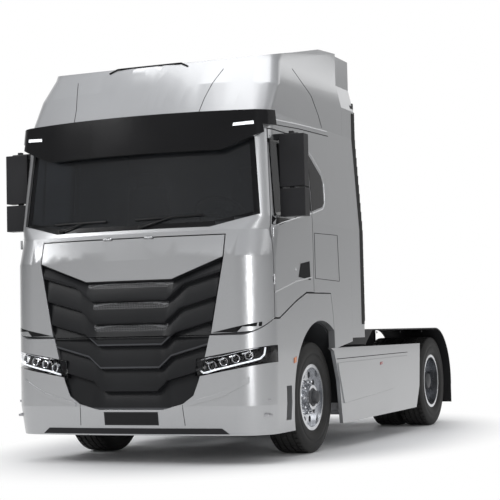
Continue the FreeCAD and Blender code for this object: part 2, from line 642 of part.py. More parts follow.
for side, sign in (("left", 1), ("right", -1)):
    turn = 0 if sign > 0 else 180
    facing = FreeCAD.Rotation(Vector(0, 0, 1), turn)
    front_tyre = tyre(f"front_tyre_{side}")
    front_disc = wheel_disc(f"front_wheel_{side}", "Sizes.tyre_width * 0.26", "Sizes.tyre_width * 0.46")
    for body in (front_tyre, front_disc):
        body.Placement.Rotation = facing
        set_place(body, f"{sign} * Sizes.front_track_half", "Sizes.tyre_radius")
    outer_tyre = tyre(f"outer_tyre_{side}")
    inner_tyre = tyre(f"inner_tyre_{side}")
    outer_disc = wheel_disc(f"outer_wheel_{side}", "-Sizes.tyre_width * 0.3", "Sizes.tyre_width * 0.1")
    inner_disc = wheel_disc(f"inner_wheel_{side}", "-Sizes.tyre_width * 0.3", "-Sizes.tyre_width * 0.2")
    for body, spacing, reverse in (
            (outer_tyre, "0", 0), (outer_disc, "0", 0),
            (inner_tyre, "Sizes.dual_spacing", 0), (inner_disc, "Sizes.dual_spacing", 180)):
        body.Placement.Rotation = FreeCAD.Rotation(Vector(0, 0, 1), turn + reverse)
        set_place(body, f"{sign} * (Sizes.rear_outer_half - {spacing})", "Sizes.tyre_radius", "Sizes.wheelbase")
        pieces.pop()
    for label, twins in ((f"rear_tyres_{side}", (outer_tyre, inner_tyre)),
                         (f"rear_wheels_{side}", (outer_disc, inner_disc))):
        pair = doc.addObject("Part::Compound", label)
        pair.Label = label
        pair.Links = list(twins)
        pieces.append(pair)

# Frame: two channel rails and the cross members between them
rail_low = mm.rail_top - mm.rail_height
rail_end = mm.wheelbase + mm.rear_overhang
channel = block((mm.rail_outer - mm.rail_flange, -mm.rail_front, rail_low), (mm.rail_outer, rail_end, mm.rail_top))
channel = channel.cut(block(
    (mm.rail_outer - mm.rail_flange - mm.overrun, -mm.rail_front - mm.overrun, rail_low + mm.rail_wall),
    (mm.rail_outer - mm.rail_wall, rail_end + mm.overrun, mm.rail_top - mm.rail_wall)))
members = [channel, mirrored(channel)]
cross_half = mm.rail_outer - mm.rail_wall - mm.seam
for cross_y in (-mm.rail_front + 60, 1750, 2700, mm.wheelbase - 560, mm.wheelbase + 420, rail_end - 60):
    member = block((-cross_half, cross_y - 45, rail_low + 60), (cross_half, cross_y + 45, mm.rail_top - 60))
    member = member.cut(block((-cross_half - 40, cross_y - 45 + mm.rail_wall, rail_low + 60 + mm.rail_wall),
                              (cross_half + 40, cross_y + 45 + 40, mm.rail_top - 60 - mm.rail_wall)))
    members.append(member)
bumper_arm = block((mm.rail_outer - mm.rail_flange, -mm.nose_front, 720),
                   (mm.rail_outer - mm.rail_wall - mm.seam, -mm.rail_front + 15 - mm.seam, 800))
bumper_arm = bumper_arm.common(body_solid(PLAN_LEVELS, mm.cab_wall + mm.seam, back))
members += [bumper_arm, mirrored(bumper_arm)]
piece("frame", Part.makeCompound(members))

# Engine and gearbox, one plain mass between the rails
engine = block((-300, -820, 560), (300, 620, 1400))
gearbox = Part.makeCone(250, 150, 900, Vector(0, 620, 690), Vector(0, 1, 0))
piece("engine", engine.fuse(gearbox))

# Front axle beam with an eye at each end
beam_half = mm.kingpin_half
eye_mid = mm.tyre_radius
beam = side_prism([(-55, eye_mid - 50), (55, eye_mid - 50), (55, eye_mid + 50), (-55, eye_mid + 50)],
                  beam_half - 150, beam_half)
drop = front_prism([
    (0, 360), (500, 360), (beam_half - 120, eye_mid - 50), (beam_half - 120, eye_mid + 50), (505, 470), (0, 470),
], -55, 55)
half_beam = beam.fuse(drop)
eye = Part.makeCylinder(mm.kingpin_eye, mm.eye_height, Vector(beam_half, 0, eye_mid - mm.eye_height / 2))
hole = Part.makeCylinder(mm.kingpin_radius + mm.running_fit, mm.eye_height + 2 * mm.overrun,
                         Vector(beam_half, 0, eye_mid - mm.eye_height / 2 - mm.overrun))
half_beam = half_beam.fuse(eye).cut(hole)
piece("front_axle", half_beam.fuse(mirrored(half_beam)).removeSplitter())

# Leaf springs of the front axle
leaf = side_prism([
    (-820, 640), (-400, 540), (-120, 470 + mm.seam), (120, 470 + mm.seam), (400, 540), (860, 640),
    (860, 665), (400, 590), (150, 530), (-150, 530), (-400, 590), (-820, 665)], 410, 490)
hanger = block((mm.rail_outer + mm.seam, -840, 600), (490, -780, 690)).fuse(block((mm.rail_outer + mm.seam, 800, 600), (490, 880, 690)))
piece("front_springs", both(leaf.fuse(hanger)))

# Rear axle: tube, differential housing and hub spindles
rear_y = mm.wheelbase
spindle_end = mm.rear_outer_half + mm.tyre_width * 0.02
tube = across(72, rear_y, mm.tyre_radius, -440, 440)
spindle = across(mm.hub_bore, rear_y, mm.tyre_radius, -spindle_end, spindle_end)
bowl = Part.makeCylinder(205, 170, Vector(-85, rear_y, mm.tyre_radius), Vector(1, 0, 0))
pinion = Part.makeCone(120, 70, 330, Vector(0, rear_y - 120, mm.tyre_radius + 10), Vector(0, -1, 0))
piece("rear_axle", tube.fuse([spindle, bowl, pinion]).removeSplitter())
bellow = Part.makeCylinder(125, 240, Vector(330, rear_y - 360, rail_low - 240 - mm.seam))
bellow2 = Part.makeCylinder(125, 240, Vector(330, rear_y + 360, rail_low - 240 - mm.seam))
carrier = block((290, rear_y - 440, rail_low - 290), (370, rear_y + 440, rail_low - 240 - 2 * mm.seam))
carrier = carrier.cut(across(72 + mm.seam, rear_y, mm.tyre_radius, 0, 600))
piece("rear_suspension", both(bellow.fuse([bellow2, carrier])))

# Drive shaft
shaft_start = Vector(0, 1500, 690)
shaft_dir = Vector(0, rear_y - 430 - 1500, mm.tyre_radius + 10 - 690)
shaft_room = block((-60, 1520 + mm.seam, 0), (60, rear_y - 450 - mm.seam, 1000))
piece("drive_shaft", Part.makeCylinder(45, shaft_dir.Length, shaft_start, shaft_dir).common(shaft_room))

# Tanks behind the skirts
tank = side_prism([(920, 330), (920, 860), (960, 900), (2700, 900), (2740, 860), (2740, 330), (2700, 290), (960, 290)],
                  mm.rail_outer + 40, mm.cab_half - mm.skin - 60)
bracket = block((mm.rail_outer + mm.seam, 1100, 700), (mm.rail_outer + 60, 1160, 880)).fuse(
    block((mm.rail_outer + mm.seam, 2500, 700), (mm.rail_outer + 60, 2560, 880)))
piece("tanks", both(tank.fuse(bracket)))

# Side skirts
skirt_outline = [
    (250, mm.skirt_top), (330, mm.skirt_top - 30), (460, 640), (mm.skirt_front, mm.skirt_bottom),
    (mm.skirt_rear - 190, mm.skirt_bottom + 17), (mm.skirt_rear - 60, 480), (mm.skirt_rear, mm.skirt_top)]
skirt = side_prism(skirt_outline, mm.cab_half - mm.skin, mm.cab_half)
skirt_fix = block((mm.cab_half - mm.skin - 62, 1100, 500), (mm.cab_half - mm.skin + 1, 1160, 700)).fuse(
    block((mm.cab_half - mm.skin - 62, 2500, 500), (mm.cab_half - mm.skin + 1, 2560, 700)))
piece("side_skirts", both(skirt.fuse(skirt_fix.cut(tank))))

# Rear mudguards
guard_out = mm.guard_radius + mm.guard_wall
guard_side = [
    (1250, mm.skirt_top + 20), (1500, mm.guard_top), (rear_y - 100, mm.guard_top),
]
ring_outer = across(guard_out, rear_y, mm.guard_top - guard_out, mm.guard_inner, mm.cab_half - 10)
ring_inner = across(mm.guard_radius, rear_y, mm.guard_top - guard_out, mm.guard_inner - 40, mm.cab_half + 40)
ring = ring_outer.cut(ring_inner).common(block((0, rear_y, mm.tyre_radius - 60), (far, rear_y + 900, 2000)))
flat = block((mm.guard_inner, 1500, mm.guard_top - mm.guard_wall - 0), (mm.cab_half - 10, rear_y, mm.guard_top))
flap_y = rear_y + mm.guard_radius
mud_flap = block((mm.guard_inner, flap_y - 4, 235), (mm.cab_half - 10, flap_y + 6, mm.tyre_radius - 60))
slope = side_prism([(1250, 970), (1500, mm.guard_top), (1500, mm.guard_top - mm.guard_wall), (1256, 956)],
                   mm.guard_inner, mm.cab_half - 10)
guard_hang = block((mm.rail_outer + mm.seam, rear_y - 90, mm.guard_top - 200), (mm.guard_inner + 4, rear_y - 30, mm.guard_top - mm.guard_wall / 2))
piece("mudguards", both(flat.fuse([ring, mud_flap, slope, guard_hang]).removeSplitter()))

# Deck behind the cab
piece("deck", block((-mm.rail_outer - 60, 1560, mm.rail_top + mm.seam), (mm.rail_outer + 60, 2600, mm.rail_top + 34)))

# Fifth wheel: mounting plate with ears, and the rocking plate with its locked jaw
pivot_y = mm.wheelbase - mm.coupling_front
pivot_z = mm.coupling_top - mm.coupling_plate - 70
base = block((-mm.rail_outer, pivot_y - 330, mm.rail_top + mm.seam), (mm.rail_outer, pivot_y + 330, mm.rail_top + 14))
ear_plate = block((330, pivot_y - 60, mm.rail_top + 10), (360, pivot_y + 60, pivot_z))
ear = ear_plate.fuse(across(60, pivot_y, pivot_z, 330, 360))
pin = across(30, pivot_y, pivot_z, 290, 360)
piece("coupling_base", base.fuse([ear, mirrored(ear), pin, mirrored(pin)]).removeSplitter())
plate = Part.makeCylinder(mm.coupling_half, mm.coupling_plate, Vector(0, pivot_y, mm.coupling_top - mm.coupling_plate))
slot = block((-40, pivot_y + 120, 0), (40, pivot_y + 600, 2000))
wedge_cut = Part.Face(Part.makePolygon([
    Vector(-40, pivot_y + 120, 1000), Vector(40, pivot_y + 120, 1000), Vector(190, pivot_y + 600, 1000),
    Vector(-190, pivot_y + 600, 1000), Vector(-40, pivot_y + 120, 1000)])).extrude(Vector(0, 0, 400))
jaw = Part.makeCylinder(70, 90, Vector(0, pivot_y + 40, mm.coupling_top - 90))
jaw_hole = Part.makeCylinder(mm.jaw_radius, 400, Vector(0, pivot_y + 40, mm.coupling_top - 200))
boss = across(58, pivot_y, pivot_z, 285, 322).cut(across(30 + mm.running_fit, pivot_y, pivot_z, 200, 400))
web = block((285, pivot_y - 58, pivot_z + 20), (322, pivot_y + 58, mm.coupling_top - mm.coupling_plate + 1)).cut(
    across(56, pivot_y, pivot_z, 200, 400))
rocker = plate.cut(wedge_cut).fuse([jaw, boss, mirrored(boss), web, mirrored(web)]).cut(jaw_hole)
piece("coupling_plate", rocker.removeSplitter())

# Knuckles with kingpin, lugs, spindle and steering arm
lug_clear = 2
knuckle_mid = Vector(mm.kingpin_half, 0, mm.tyre_radius)
low_z = mm.tyre_radius - mm.eye_height / 2
high_z = mm.tyre_radius + mm.eye_height / 2
pin_len = mm.eye_height + 2 * (mm.lug_height + lug_clear)
kingpin = Part.makeCylinder(mm.kingpin_radius, pin_len, Vector(mm.kingpin_half, 0, low_z - mm.lug_height - lug_clear))
lug_low = Part.makeCylinder(50, mm.lug_height, Vector(mm.kingpin_half, 0, low_z - mm.lug_height - lug_clear))
lug_high = Part.makeCylinder(50, mm.lug_height, Vector(mm.kingpin_half, 0, high_z + lug_clear))
web_near = mm.kingpin_half + mm.kingpin_eye + 8
lug_low = lug_low.fuse(block((mm.kingpin_half, -50, low_z - mm.lug_height - lug_clear), (web_near + 30, 50, low_z - lug_clear)))
lug_high = lug_high.fuse(block((mm.kingpin_half, -50, high_z + lug_clear), (web_near + 30, 50, high_z + mm.lug_height + lug_clear)))
web = block((web_near, -50, low_z - mm.lug_height - lug_clear), (web_near + 30, 50, high_z + mm.lug_height + lug_clear))
stub = across(mm.hub_bore, 0, mm.tyre_radius, web_near + 20, mm.front_track_half + mm.tyre_width * 0.44)
arm_low = low_z - mm.lug_height - lug_clear
arm_high = low_z - lug_clear - 12
rod_mid = arm_high + lug_clear + mm.rod_eye_height / 2
arm = block((mm.kingpin_half - 28, 0, arm_low), (mm.kingpin_half + 28, mm.arm_back, arm_high))
arm_eye = Part.makeCylinder(34, arm_high - arm_low, Vector(mm.kingpin_half, mm.arm_back, arm_low))
ball_pin = Part.makeCylinder(12, rod_mid + mm.rod_eye_height / 2 + lug_clear - arm_low,
                             Vector(mm.kingpin_half, mm.arm_back, arm_low))
knuckle = kingpin.fuse([lug_low, lug_high, web, stub, arm, arm_eye, ball_pin]).removeSplitter()
piece("knuckle_left", knuckle)
piece("knuckle_right", mirrored(knuckle))

# Track rod between the two arms
rod_base = Vector(mm.kingpin_half, mm.arm_back, rod_mid - mm.rod_eye_height / 2)
rod_eye = Part.makeCylinder(30, mm.rod_eye_height, rod_base)
rod_hole = Part.makeCylinder(12 + mm.running_fit, mm.rod_eye_height, rod_base)
rod_bar = across(mm.rod_radius - 2, mm.arm_back, rod_mid, -mm.kingpin_half + 20, mm.kingpin_half - 20)
rod = rod_bar.fuse([rod_eye, mirrored(rod_eye)]).cut(rod_hole).cut(mirrored(rod_hole))
piece("track_rod", rod)

# Nose that stays on the frame: bumper, wings, lower grille and headlamps
sweep_keep = across(mm.tilt_sweep - mm.tilt_clearance, tilt_y, mm.tilt_height, -far, far)
front_room = block((-far, nose, mm.tilt_height), (far, tilt_y, top)).cut(sweep_keep)
wing_keep = across(mm.wing_reach, tilt_y, mm.tilt_height, -far, far)
nose_region = side_prism([(nose, 0)] + SPLIT_LINE + [(mm.wing_reach, SPLIT_LINE[-1][1]), (mm.wing_reach, 0)], -far, far)
nose_region = nose_region.common(wing_keep.fuse(block((-far, nose, 0), (far, 0, top))))
wheel_room = across(mm.arch_radius, 0, mm.tyre_radius, -far, far)
nose_levels = PLAN_LEVELS
nose_shell = cab_outer.cut(cab_inner).common(nose_region).cut(front_room).cut(wheel_room)
nose_shell = nose_shell.cut(block((-far, 0, 0), (far, back, 980)))
lamp_low = [(610, 745), (1260, 860)]
lamp_top = [(1260, 1110), (630, 990)]
lamp_zone = [(616, 745), (far, 865), (far, 1010), (630, 900)]
blade_zone = [(615, 900), (far, 1010), (far, 1330), (640, 1330)]
lower_shield = [(-640, 1330), (640, 1330), (600, 745), (317, 471), (-317, 471), (-600, 745)]
lamp_depth = -mm.door_front + 40
lamps = nose_shell.common(front_prism(
    [(616 + mm.seam, 745 + mm.seam), (far, 865 + mm.seam), (far, 1010 - mm.seam), (630 + mm.seam, 900 - mm.seam)], nose, lamp_depth))
lamp_hole = front_prism(lamp_zone, nose, lamp_depth + mm.seam)
piece("headlamps", both(lamps.common(block((0, nose, 0), (far, back, top)))))
lamp_hole = lamp_hole.fuse(mirrored(lamp_hole))
shield_hole = front_prism(lower_shield, nose, front_zone)
lower = nose_shell.common(front_prism(
    [(-640 + 1, 1330), (640 - 1, 1330), (600 - 1, 745), (317 - 1, 471 + 1), (-317 + 1, 471 + 1), (-600 + 1, 745)], nose, front_zone))
piece("grille_lower", lower)
bumper = nose_shell.cut(lamp_hole).cut(shield_hole)
step_hole = block((mm.cab_half - 200, -880, 352), (far, -760, 647))
piece("bumper", bumper.cut(step_hole).cut(mirrored(step_hole)))
liner_out = mm.cab_half - mm.cab_wall - mm.seam
liner = across(mm.arch_radius - mm.seam, 0, mm.tyre_radius, 800, liner_out).cut(
    across(mm.arch_radius - 20, 0, mm.tyre_radius, 700, mm.cab_half)).common(
    block((0, -mm.arch_radius, 420), (far, mm.arch_radius, 2000)))
liner = liner.cut(block((liner_out - 10, mm.arch_radius * 0.4, 0), (far, mm.arch_radius, 2000)))
piece("arch_liners", both(liner))

doc.recompute()
os.makedirs("parts", exist_ok=True)
faulty = [item.Label for item in doc.Objects if "Invalid" in item.State or "Error" in item.State]
faulty += [item.Label for item in pieces if item.Shape.isNull() or not item.Shape.isValid()]
if faulty:
    sys.exit("not built: " + ", ".join(faulty))
for item in pieces:
    item.Shape.exportStep(f"parts/{item.Label}.step")
    box = item.Shape.BoundBox
    print(f"{item.Label:22} solids {len(item.Shape.Solids)} faces {len(item.Shape.Faces)}"
          f" x {box.XMin:.0f} {box.XMax:.0f} y {box.YMin:.0f} {box.YMax:.0f} z {box.ZMin:.0f} {box.ZMax:.0f}")
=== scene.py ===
import math

import bmesh
import bpy
from mathutils import Matrix, Vector
from mathutils.bvhtree import BVHTree


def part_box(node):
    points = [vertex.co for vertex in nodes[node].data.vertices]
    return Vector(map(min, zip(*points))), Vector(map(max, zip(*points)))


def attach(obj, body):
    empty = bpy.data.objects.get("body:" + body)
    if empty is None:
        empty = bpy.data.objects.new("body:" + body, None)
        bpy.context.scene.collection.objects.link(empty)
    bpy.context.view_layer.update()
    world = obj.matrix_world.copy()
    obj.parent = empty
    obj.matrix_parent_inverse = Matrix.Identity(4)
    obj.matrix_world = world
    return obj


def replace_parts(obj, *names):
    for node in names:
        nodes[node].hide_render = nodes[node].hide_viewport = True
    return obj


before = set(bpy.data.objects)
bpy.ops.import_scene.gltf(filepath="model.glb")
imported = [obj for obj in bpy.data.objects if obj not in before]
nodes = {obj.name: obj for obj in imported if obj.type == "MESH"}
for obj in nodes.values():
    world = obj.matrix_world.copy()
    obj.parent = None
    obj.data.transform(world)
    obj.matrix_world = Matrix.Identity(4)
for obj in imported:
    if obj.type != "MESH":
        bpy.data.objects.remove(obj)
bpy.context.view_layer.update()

SIDES = (("left", 1), ("right", -1))

# Camera: low in front of the truck's left corner, with a long lens.
# Its place and turn come from the wheels, the shield and the roof seam in the picture.
CAMERA_PLACE = (5.8906, -14.0951, 1.1141)
CAMERA_HEADING, CAMERA_PITCH, CAMERA_ROLL = 23.200, 3.262, -1.291
camera_data = bpy.data.cameras.new("camera")
camera_data.lens = 103.94
camera_data.sensor_width = 36
camera_data.clip_end = 200
camera = bpy.data.objects.new("camera", camera_data)
bpy.context.collection.objects.link(camera)
camera.matrix_world = (
    Matrix.Translation(CAMERA_PLACE)
    @ Matrix.Rotation(math.radians(CAMERA_HEADING), 4, "Z")
    @ Matrix.Rotation(math.radians(90 + CAMERA_PITCH), 4, "X")
    @ Matrix.Rotation(math.radians(CAMERA_ROLL), 4, "Z"))
bpy.context.scene.camera = camera
bpy.context.scene.view_settings.view_transform = "Standard"


# Studio: a pale floor that fades to a white backdrop, grey walls beside it that the paint mirrors, and soft boxes.
# The floor is the first thing with a material, so the helpers for shader nodes start here.
def new_material(name):
    material = bpy.data.materials.new(name)
    material.use_nodes = True
    tree = material.node_tree
    return material, tree, tree.nodes["Principled BSDF"]


def add_node(tree, kind, **settings):
    node = tree.nodes.new(kind)
    for key, value in settings.items():
        setattr(node, key, value)
    return node


def set_sockets(node, **values):
    """Set a node's sockets by name, with an underscore for each space."""
    for socket, value in values.items():
        node.inputs[socket.replace("_", " ")].default_value = value


def object_place(tree):
    """Object coordinates of the surface, in metres."""
    return add_node(tree, "ShaderNodeTexCoord").outputs["Object"]


def noise(tree, place, scale, detail=2.0, rough=0.5):
    texture = add_node(tree, "ShaderNodeTexNoise")
    set_sockets(texture, Scale=scale, Detail=detail, Roughness=rough)
    tree.links.new(place, texture.inputs["Vector"])
    return texture.outputs["Fac"]


def ramp(tree, value, low, high, low_colour, high_colour):
    """Colour that runs from one to the other while the value goes from low to high."""
    node = add_node(tree, "ShaderNodeValToRGB")
    for stop, position, colour in zip(node.color_ramp.elements, (low, high), (low_colour, high_colour)):
        stop.position = position
        stop.color = (*colour, 1)
    tree.links.new(value, node.inputs["Fac"])
    return node.outputs["Color"]


def spread(tree, value, low, high, start=0.0, end=1.0):
    """Number that runs from low to high while the value goes from start to end."""
    node = add_node(tree, "ShaderNodeMapRange")
    set_sockets(node, From_Min=start, From_Max=end, To_Min=low, To_Max=high)
    tree.links.new(value, node.inputs["Value"])
    return node.outputs["Result"]


def bump(tree, shader, height, strength, distance):
    node = add_node(tree, "ShaderNodeBump")
    set_sockets(node, Strength=strength, Distance=distance)
    tree.links.new(height, node.inputs["Height"])
    tree.links.new(node.outputs["Normal"], shader.inputs["Normal"])


def mix_shaders(tree, share, first, second, output):
    mix = add_node(tree, "ShaderNodeMixShader")
    for value, socket in zip((share, first, second), mix.inputs):
        tree.links.new(value, socket)
    tree.links.new(mix.outputs["Shader"], tree.nodes[output].inputs["Surface"])


def picture_rays(tree):
    """1 for rays from the camera, from shine and through glass; 0 for rays that light other things."""
    path = add_node(tree, "ShaderNodeLightPath")
    seen = path.outputs["Is Camera Ray"]
    for kind in ("Is Glossy Ray", "Is Transmission Ray"):
        either = add_node(tree, "ShaderNodeMath", operation="MAXIMUM")
        tree.links.new(seen, either.inputs[0])
        tree.links.new(path.outputs[kind], either.inputs[1])
        seen = either.outputs["Value"]
    return seen


FLOOR_REACH = 60
FADE_OVAL = (0.50, 0.27, 1)
FADE_START, FADE_END = 0.8, 1.3
floor_mesh = bmesh.new()
bmesh.ops.create_grid(floor_mesh, x_segments=8, y_segments=8, size=FLOOR_REACH)
floor_data = bpy.data.meshes.new("studio_floor")
floor_mesh.to_mesh(floor_data)
floor_mesh.free()
floor = bpy.data.objects.new("studio_floor", floor_data)
bpy.context.collection.objects.link(floor)
floor_material, tree, shader = new_material("studio_floor")
set_sockets(shader, Roughness=0.6, Base_Color=(0.86, 0.86, 0.87, 1))
oval = add_node(tree, "ShaderNodeMapping")
set_sockets(oval, Scale=FADE_OVAL)
tree.links.new(object_place(tree), oval.inputs["Vector"])
length = add_node(tree, "ShaderNodeVectorMath", operation="LENGTH")
tree.links.new(oval.outputs["Vector"], length.inputs[0])
fade = add_node(tree, "ShaderNodeMapRange", interpolation_type="SMOOTHSTEP")
set_sockets(fade, From_Min=FADE_START, From_Max=FADE_END)
tree.links.new(length.outputs["Value"], fade.inputs["Value"])
white = add_node(tree, "ShaderNodeEmission")
set_sockets(white, Color=(1, 1, 1, 1))
shown = add_node(tree, "ShaderNodeMath", operation="MULTIPLY")
tree.links.new(fade.outputs["Result"], shown.inputs[0])
tree.links.new(picture_rays(tree), shown.inputs[1])
mix_shaders(tree, shown.outputs["Value"], shader.outputs["BSDF"], white.outputs["Emission"], "Material Output")
floor_data.materials.append(floor_material)

world = bpy.data.worlds.new("studio")
bpy.context.scene.world = world
world.use_nodes = True
tree = world.node_tree
sky = tree.nodes["Background"]
set_sockets(sky, Strength=0.35, Color=(0.96, 0.98, 1.0, 1))
backdrop = add_node(tree, "ShaderNodeBackground")
direction = add_node(tree, "ShaderNodeTexCoord").outputs["Generated"]
BEHIND_TRUCK = (-0.394, 0.919, 0)
around = add_node(tree, "ShaderNodeVectorMath", operation="DOT_PRODUCT")
around.inputs[1].default_value = BEHIND_TRUCK
tree.links.new(direction, around.inputs[0])
walls = add_node(tree, "ShaderNodeValToRGB")
WALLS = ((0.0, 0.32), (0.12, 0.62), (0.3, 0.42), (0.66, 0.2), (0.82, 0.24), (0.95, 1.0))
while len(walls.color_ramp.elements) < len(WALLS):
    walls.color_ramp.elements.new(0.5)
for stop, (position, level) in zip(walls.color_ramp.elements, WALLS):
    stop.position = position
    stop.color = (level, level, level, 1)
tree.links.new(spread(tree, around.outputs["Value"], 0, 1, -1, 1), walls.inputs["Fac"])
height = add_node(tree, "ShaderNodeSeparateXYZ")
tree.links.new(direction, height.inputs["Vector"])
ceiling = add_node(tree, "ShaderNodeMix", data_type="RGBA")
set_sockets(ceiling, B=(0.85, 0.86, 0.88, 1))
tree.links.new(spread(tree, height.outputs["Z"], 0, 1, 0.25, 0.8), ceiling.inputs["Factor"])
tree.links.new(walls.outputs["Color"], ceiling.inputs["A"])
tree.links.new(ceiling.outputs["Result"], backdrop.inputs["Color"])
mix_shaders(tree, picture_rays(tree), sky.outputs["Background"], backdrop.outputs["Background"], "World Output")


def soft_box(name, place, target, width, height, power):
    data = bpy.data.lights.new(name, "AREA")
    data.shape = "RECTANGLE"
    data.size = width
    data.size_y = height
    data.energy = power
    lamp = bpy.data.objects.new(name, data)
    lamp.location = place
    lamp.rotation_euler = (Vector(target) - Vector(place)).to_track_quat("-Z", "Y").to_euler()
    bpy.context.collection.objects.link(lamp)


soft_box("box_over", (0.5, -1.0, 9.0), (0, -0.5, 2), 7, 9, 400)
soft_box("box_front", (-6.5, -9.5, 8.0), (0, -2.5, 1.6), 5, 3, 420)
soft_box("box_side", (9.0, 0.5, 5.5), (1.2, 0, 1.6), 8, 3, 70)
soft_box("box_corner", (8.2, -11.5, 3.2), (1.0, -2.8, 1.9), 2.2, 5, 380)
soft_box("box_rear", (5.0, 8.5, 7.5), (1.0, -1.5, 3.2), 5, 3, 40)


# Frame, axles and brackets: rolled and cast steel under satin dark chassis paint.
# Road grime lies on it, and fine orange peel breaks its shine.
def make_finish(name, colours, rough, tone, grain=None, relief=None, span=(0.3, 0.7), grain_colours=False, **sockets):
    """Finish with a broad tone that shifts its colour and roughness, and a fine grain that is its relief."""
    material, tree, shader = new_material(name)
    place = object_place(tree)
    broad = noise(tree, place, *tone)
    fine = noise(tree, place, *grain) if grain else None
    tree.links.new(ramp(tree, fine if grain_colours else broad, *span, *colours), shader.inputs["Base Color"])
    if rough:
        tree.links.new(spread(tree, broad, *rough), shader.inputs["Roughness"])
    set_sockets(shader, **sockets)
    if relief:
        bump(tree, shader, fine, *relief)
    return material


def painted_steel(name, colour, rough):
    dusty = tuple(part * 1.7 + 0.008 for part in colour)
    return make_finish(name, (colour, dusty), (rough, rough + 0.2), (5.0, 5.0), (140, 3.0), (0.2, 0.001), (0.35, 0.75))


def dress(material, *names):
    """Give every material slot of the named pieces one finish."""
    for name in names:
        for slot in nodes[name].material_slots:
            slot.material = material


chassis_paint = painted_steel("chassis_paint", (0.02, 0.021, 0.023), 0.42)
dress(chassis_paint, "frame", "front_axle", "front_springs", "rear_axle", "rear_suspension", "drive_shaft",
      "coupling_base", "knuckle_left", "knuckle_right", "track_rod")


# Bolts of the frame: flange bolts with washers in two rows along both rails.
# Zinc-plated steel, dulled, pulled tight against the rail's web.
def zinc_steel(name, colour, rough):
    dark = tuple(part * 0.7 for part in colour)
    return make_finish(name, (dark, colour), (rough - 0.08, rough + 0.1), (18, 4.0), (240, 3.0), (0.08, 0.0006),
                       Metallic=0.95)


def finish_piece(name, shape, material, body, edge=0.0, angle=32, rounds=2):
    """Close a shape, make it a piece that rides on a body, and soften its edges."""
    bmesh.ops.remove_doubles(shape, verts=shape.verts, dist=0.00002)
    bmesh.ops.recalc_face_normals(shape, faces=shape.faces)
    data = bpy.data.meshes.new(name)
    shape.to_mesh(data)
    shape.free()
    piece = bpy.data.objects.new(name, data)
    bpy.context.collection.objects.link(piece)
    data.materials.append(material)
    data.shade_smooth()
    data.set_sharp_from_angle(angle=math.radians(angle))
    if edge:
        soften = piece.modifiers.new("edge", "BEVEL")
        soften.width = edge
        soften.segments = rounds
        soften.limit_method = "ANGLE"
        soften.angle_limit = math.radians(angle)
        soften.harden_normals = True
    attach(piece, body)
    return piece


def pose_at(place, out):
    """Pose at a place, with its z axis standing out of the surface."""
    return Matrix.Translation(place) @ Vector((0, 0, 1)).rotation_difference(Vector(out)).to_matrix().to_4x4()


def add_bolt(shape, place, out, size, depth, sides=6):
    """Washer and hexagon head at a place, standing out of the surface."""
    pose = pose_at(place, out)
    for radius, height, count in ((size * 1.25, depth * 0.3, 16), (size, depth, sides)):
        bmesh.ops.create_cone(
            shape, cap_ends=True, segments=count, radius1=radius, radius2=radius * 0.94, depth=height,
            matrix=pose @ Matrix.Translation((0, 0, height / 2)))


zinc = zinc_steel("zinc_steel", (0.42, 0.42, 0.43), 0.42)
RAIL_WEB, BOLTS, FIRST_BOLT, BOLT_PITCH, BOLT_ROWS = 0.4, 24, -2.7, 0.245, (0.745, 0.905)
bolts = bmesh.new()
for side, sign in SIDES:
    for step in range(BOLTS):
        for height in BOLT_ROWS:
            add_bolt(bolts, (sign * RAIL_WEB, FIRST_BOLT + step * BOLT_PITCH, height), (sign, 0, 0), 0.013, 0.014)
finish_piece("frame_bolts", bolts, zinc, "chassis")


# Engine and gearbox: one cast block between the rails, in cast-iron paint.
# The rocker covers and the side covers are alloy castings, bolted on.
dress(painted_steel("cast_paint", (0.045, 0.047, 0.05), 0.5), "engine")


def add_box(shape, low, high, edge=0.0, rounds=2):
    """Box between two corners with its edges rounded."""
    low, high = Vector(low), Vector(high)
    made = bmesh.ops.create_cube(shape, size=1, matrix=Matrix.Translation((low + high) / 2)
                                 @ Matrix.Diagonal((*(high - low), 1)))
    if edge:
        edges = {line for corner in made["verts"] for line in corner.link_edges}
        bmesh.ops.bevel(shape, geom=list(edges), offset=edge, segments=rounds, profile=0.5, affect="EDGES", material=-1)


CYLINDERS, CYLINDER_PITCH, ENGINE_SIDE = 6, 0.24, 0.3
covers = bmesh.new()
for side, sign in SIDES:
    wall = sign * ENGINE_SIDE
    for cylinder in range(CYLINDERS):
        front = -2.38 + cylinder * CYLINDER_PITCH
        add_box(covers, (wall - 0.012, front, 1.1), (wall + 0.012, front + 0.18, 1.34), 0.01)
        add_bolt(covers, (wall + sign * 0.012, front + 0.09, 1.22), (sign, 0, 0), 0.009, 0.01)
    add_box(covers, (wall - 0.02, -2.3, 0.62), (wall + 0.02, -1.3, 0.72), 0.012)
finish_piece("engine_covers", covers, zinc_steel("alloy_casting", (0.34, 0.34, 0.35), 0.5), "chassis")

# Leaf springs: the U-bolts that clamp them on the front axle's pads.
# Forged steel, held by nuts on the spring plates.
U_BOLT_LEGS, LEG_RADIUS = ((-1.72, -1.58), (0.405, 0.495)), 0.009
u_bolts = bmesh.new()
for side, sign in SIDES:
    for along in U_BOLT_LEGS[0]:
        for off in U_BOLT_LEGS[1]:
            bmesh.ops.create_cone(u_bolts, cap_ends=True, segments=14, radius1=LEG_RADIUS, radius2=LEG_RADIUS,
                                  depth=0.2, matrix=Matrix.Translation((sign * off, along, 0.535)))
            add_bolt(u_bolts, (sign * off, along, 0.62), (0, 0, 1), 0.014, 0.018)
finish_piece("spring_bolts", u_bolts, zinc, "chassis")

